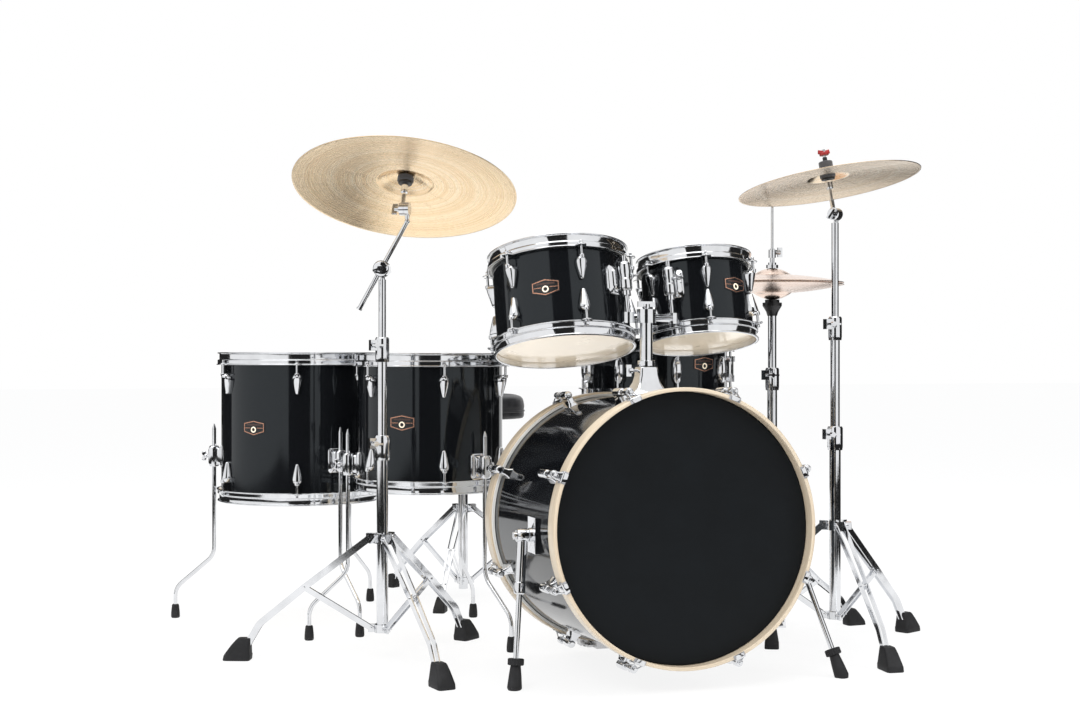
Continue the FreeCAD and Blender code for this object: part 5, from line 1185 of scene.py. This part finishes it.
def footGrid(radius, scale):
    # rubber wedge: rounded rectangles that shrink and lean inwards with height, with a worn lip at the floor
    levels = [(0, 0.0, 0.97, 0.96), (1.5, 0, 1, 1), (11, -1.5, 0.985, 0.99), (15, -2.2, 0.93, 0.955),
              (34, -9, 0.70, 0.80), (46, -14.5, 0.53, 0.69), (49.4, -16.5, 0.47, 0.62), (50, -17, 0.36, 0.5)]
    rings = []
    for height, lean, long, wide in levels:
        ring = block(62 * long, 40 * wide, 9 * wide, 5) * scale
        centre = radius + (5 + lean) * scale
        rings.append(np.stack([ring[:, 0] + centre, ring[:, 1], np.full(len(ring), height * scale)], -1))
    return capped(rings)


tripods = [(ride["place"], (160, -80, 40), 325, 1.0), (crash["place"], (265.5, 25.5, 145.5), 295, 1.0),
           (hat["place"], (4, 124, 244), 235, 0.85), ((236, 509), (145, 25, 265), 185, 0.8),
           (tuple(throneMiddle), (243, 3, 123), 288, 0.8)]
feet = Piece("stand_feet_shown")
for place, angles, reach, scale in tripods:
    wedge = footGrid(reach, scale)
    for angle in angles:
        feet.add(moved(wedge, turnMatrix((0, 0, 1), angle), (*place, 0)))
pads = [(*(np.array(hat["place"]) + polar(out, hat["pedal"])[:2]), 7.0) for out in (60, 285)]
pads += [(side * 27, y, 8.0) for side in (-1, 1) for y in (300, 532)]
for x, y, radius in pads:
    disc = rounded([(0, 0), (radius, 0), (radius, 4), (0, 4)], [0, 0.8, 0.5, 0], 3)
    feet.add(moved(lathe(disc, 24), None, (x, y, 0)))
feet.finish("kit", ["rubber"], ("stand_feet",), "foot_rubber", smoothAngle=30)
print("stands made")

# kick beater and throne
beater = {"axle": (0, 300, 122), "reach": 188.0, "lean": 30.0, "half": 46.0}
lean = math.radians(beater["lean"])
axle = np.array(beater["axle"], float)
shaftWay = np.array([0, math.sin(lean), math.cos(lean)])
headWay = np.array([0, -math.cos(lean), math.sin(lean)])
headMiddle = axle + shaftWay * beater["reach"]
piece = Piece("kick_beater_shown")
bar = rounded([(0, -beater["half"]), (5, -beater["half"]), (5, beater["half"]), (0, beater["half"])], 0.8, 3)
piece.add(moved(lathe(bar, 24), standing((1, 0, 0)), axle))
wheel = rounded([(5, -7), (29, -7), (29, -5), (24, -4), (24, 4), (29, 5), (29, 7), (5, 7)], 0.8, 3, True)
piece.add(moved(lathe(wheel, 48), standing((1, 0, 0)), axle), 0, closeRows=True)
piece.add(alongLine(axle, headMiddle, [(0, 0), (4.5, 0), (4.5, beater["reach"]), (0, beater["reach"])], 20))
piece.add(moved(lathe(rounded([(0, -22), (22, -22), (24, -18), (24, -4)], [0, 3, 2, 0], 5), 40), standing(headWay),
                headMiddle), 1)
piece.add(moved(lathe(rounded([(24, -4), (24, 17), (19, 23.4), (0, 24)], [0, 5, 5, 0], 6), 40), standing(headWay),
                headMiddle), 2)
piece.finish("kick_beater", ["chrome", "blackPlastic", "whiteFelt"], ("kick_beater",), "pedal_metal")

seat = {"radius": 176.0, "low": 510.0, "high": 581.0, "piping": 21.0, "steps": 160, "slack": 4.0}
mid = seat["low"] + seat["piping"]
cushionProfile = np.vstack([
    rounded([(0, seat["low"]), (seat["radius"] - 5, seat["low"]), (seat["radius"] - 1.5, seat["low"] + 9),
             (seat["radius"] - 2.5, mid - 3)], [0, 5, 5, 0], 6),
    rounded([(seat["radius"] - 2.5, mid - 3), (seat["radius"], mid - 2), (seat["radius"], mid + 2),
             (seat["radius"] - 2.5, mid + 3)], [0, 1.5, 1.5, 0], 5)[1:],
    rounded([(seat["radius"] - 2.5, mid + 3), (seat["radius"] - 1.0, mid + 14),
             (seat["radius"] - 6, seat["high"] - 11), (seat["radius"] - 30, seat["high"] - 2.2),
             (80, seat["high"] - 0.4), (0, seat["high"])],
            [0, 8, 12, 14, 30, 0], 8)[1:]])
walk = walked(cushionProfile)
number = np.arange(len(walk))
whole = np.unique(np.concatenate([number, np.interp(np.linspace(0, walk[-1], 76), walk, number)]))
fine = np.stack([np.interp(whole, number, cushionProfile[:, k]) for k in (0, 1)], -1)
grid = lathe(fine, seat["steps"])
# the sat-on top sinks by slack (1 - share) (1/2 + 1/2 share sin(3 a + 0.8)), with share = r / radius
angle = np.linspace(0, 2 * np.pi, seat["steps"], endpoint=False)[None]
share = np.clip(fine[:, 0:1] / seat["radius"], 0, 1)
slack = np.clip((fine[:, 1:2] - mid - 4) / 20, 0, 1) * np.clip(1 - fine[:, 0:1] / seat["radius"], 0, 1) * seat["slack"]
grid[..., 2] -= slack * (0.5 + 0.5 * np.sin(3 * angle + 0.8) * share)
cushion = Piece("throne_cushion").add(grid).finish("throne_seat", ["vinyl"], ("throne_seat",), "seat_vinyl",
                                                   centre=(*throneMiddle, 0), smoothAngle=60)
fromCad("throne_seat", "throne_seat", bevel=0.6, name="throne_socket",
        keep=lambda middle, size: max(size) < 200)
print("beater and throne made")

# floor, walls, lamps, camera
stage = {"size": 60.0, "dark": 0.02, "wallOut": 4.2, "wallHigh": 4.5, "cameraPlace": (-1.2272, -3.8613, 0.690),
         "cameraTurn": (90.0, 0.0, -17.5), "lens": 53.33, "shift": -0.00463,
         "walls": [(-34, 20), (20, 40), (74, 84), (84, 146), (236, 268)], "floorShare": 0.88, "floorGlow": 1.0,
         "darkHeight": 0.003,
         "darkFloor": [(-5.0, -5.5, 5.0, -1.75), (-5.0, -5.5, -2.1, 3.0), (1.9, -5.5, 5.0, 3.0)],
         "lamps": [((-2.6, -3.2, 3.4), (2.2, 1.6), 110.0), ((3.0, -2.4, 2.8), (0.7, 2.2), 50.0),
                   ((0.3, 0.4, 4.2), (3.0, 3.0), 90.0)],
         "target": (0.0, 0.0, 0.55), "sun": 1.2, "sunSpread": 60.0, "sunTurn": (12.0, -10.0, 0.0)}


def seenRays(nodes, links):
    # 1 for rays that show a thing to the viewer (camera, mirror, glass), 0 for rays that light it
    rays = nodes.new("ShaderNodeLightPath")
    first, second = nodes.new("ShaderNodeMath"), nodes.new("ShaderNodeMath")
    first.operation = second.operation = "MAXIMUM"
    links.new(rays.outputs["Is Camera Ray"], first.inputs[0])
    links.new(rays.outputs["Is Glossy Ray"], first.inputs[1])
    links.new(first.outputs[0], second.inputs[0])
    links.new(rays.outputs["Is Transmission Ray"], second.inputs[1])
    return second.outputs[0]


def plainFinish(name, color, strength, share=0.0):
    # flat glow; with a share it is paint, of which seen rays get that share as glow
    material = bpy.data.materials.new(name)
    material.use_nodes = True
    nodes, links = material.node_tree.nodes, material.node_tree.links
    nodes.clear()
    end = nodes.new("ShaderNodeOutputMaterial")
    glow = nodes.new("ShaderNodeEmission")
    glow.inputs[0].default_value = (*color, 1)
    glow.inputs[1].default_value = strength
    if share:
        paint = nodes.new("ShaderNodeBsdfDiffuse")
        paint.inputs[0].default_value = (*color, 1)
        part = nodes.new("ShaderNodeMath")
        part.operation = "MULTIPLY"
        part.inputs[1].default_value = share
        links.new(seenRays(nodes, links), part.inputs[0])
        mix = nodes.new("ShaderNodeMixShader")
        links.new(part.outputs[0], mix.inputs[0])
        links.new(paint.outputs[0], mix.inputs[1])
        links.new(glow.outputs[0], mix.inputs[2])
        links.new(mix.outputs[0], end.inputs[0])
    else:
        links.new(glow.outputs[0], end.inputs[0])
    return material


def stagePanel(name, corners, material, onlyGlossy):
    # one flat four-cornered panel; onlyGlossy leaves it to mirror rays alone
    mesh = bpy.data.meshes.new(name)
    mesh.from_pydata(corners, [], [(0, 1, 2, 3)])
    mesh.materials.append(material)
    panel = bpy.data.objects.new(name, mesh)
    bpy.context.scene.collection.objects.link(panel)
    if onlyGlossy:
        panel.visible_camera = panel.visible_diffuse = panel.visible_shadow = False
        panel.visible_transmission = panel.visible_volume_scatter = False
    return panel


half = stage["size"] / 2
floorFinish = plainFinish("floor_paint", (1.0, 1.0, 1.0), stage["floorGlow"], stage["floorShare"])
stagePanel("floor", [(-half, -half, 0), (half, -half, 0), (half, half, 0), (-half, half, 0)], floorFinish, False)
darkFinish = plainFinish("dark_wall", (1.0, 1.0, 1.0), stage["dark"])
for number, (start, end) in enumerate(stage["walls"]):
    a, b = polar(stage["wallOut"], start), polar(stage["wallOut"], end)
    up = np.array([0, 0, stage["wallHigh"]])
    stagePanel("wall_%d" % number, [tuple(a), tuple(b), tuple(b + up), tuple(a + up)], darkFinish, True)

for number, (x, y, farX, farY) in enumerate(stage["darkFloor"]):
    corners = [(x, y), (farX, y), (farX, farY), (x, farY)]
    stagePanel("dark_floor_%d" % number, [(*corner, stage["darkHeight"]) for corner in corners], darkFinish, True)

for number, (place, size, power) in enumerate(stage["lamps"]):
    lamp = bpy.data.lights.new("lamp_%d" % number, "AREA")
    lamp.shape = "RECTANGLE"
    lamp.size, lamp.size_y = size
    lamp.energy = power
    holder = bpy.data.objects.new("lamp_%d" % number, lamp)
    holder.location = place
    holder.rotation_euler = (Vector(stage["target"]) - Vector(place)).to_track_quat("-Z", "Y").to_euler()
    holder.visible_glossy = False
    bpy.context.scene.collection.objects.link(holder)
sun = bpy.data.lights.new("sky_light", "SUN")
sun.energy = stage["sun"]
sun.angle = math.radians(stage["sunSpread"])
holder = bpy.data.objects.new("sky_light", sun)
holder.rotation_euler = [math.radians(a) for a in stage["sunTurn"]]
bpy.context.scene.collection.objects.link(holder)

world = bpy.data.worlds.new("studio")
bpy.context.scene.world = world
world.use_nodes = True
nodes, links = world.node_tree.nodes, world.node_tree.links
nodes.clear()
soft, white = nodes.new("ShaderNodeBackground"), nodes.new("ShaderNodeBackground")
soft.inputs[0].default_value, soft.inputs[1].default_value = (0.95, 0.97, 1.0, 1), 0.5
white.inputs[0].default_value, white.inputs[1].default_value = (1, 1, 1, 1), 1.0
mix, end = nodes.new("ShaderNodeMixShader"), nodes.new("ShaderNodeOutputWorld")
links.new(seenRays(nodes, links), mix.inputs[0])
links.new(soft.outputs[0], mix.inputs[1])
links.new(white.outputs[0], mix.inputs[2])
links.new(mix.outputs[0], end.inputs[0])

camera = bpy.data.cameras.new("camera")
camera.lens = stage["lens"]
camera.sensor_width = 36.0
camera.shift_y = stage["shift"]
viewer = bpy.data.objects.new("camera", camera)
viewer.location = stage["cameraPlace"]
viewer.rotation_euler = [math.radians(a) for a in stage["cameraTurn"]]
bpy.context.scene.collection.objects.link(viewer)
bpy.context.scene.camera = viewer
bpy.context.scene.view_settings.view_transform = "Standard"
print("stage set")
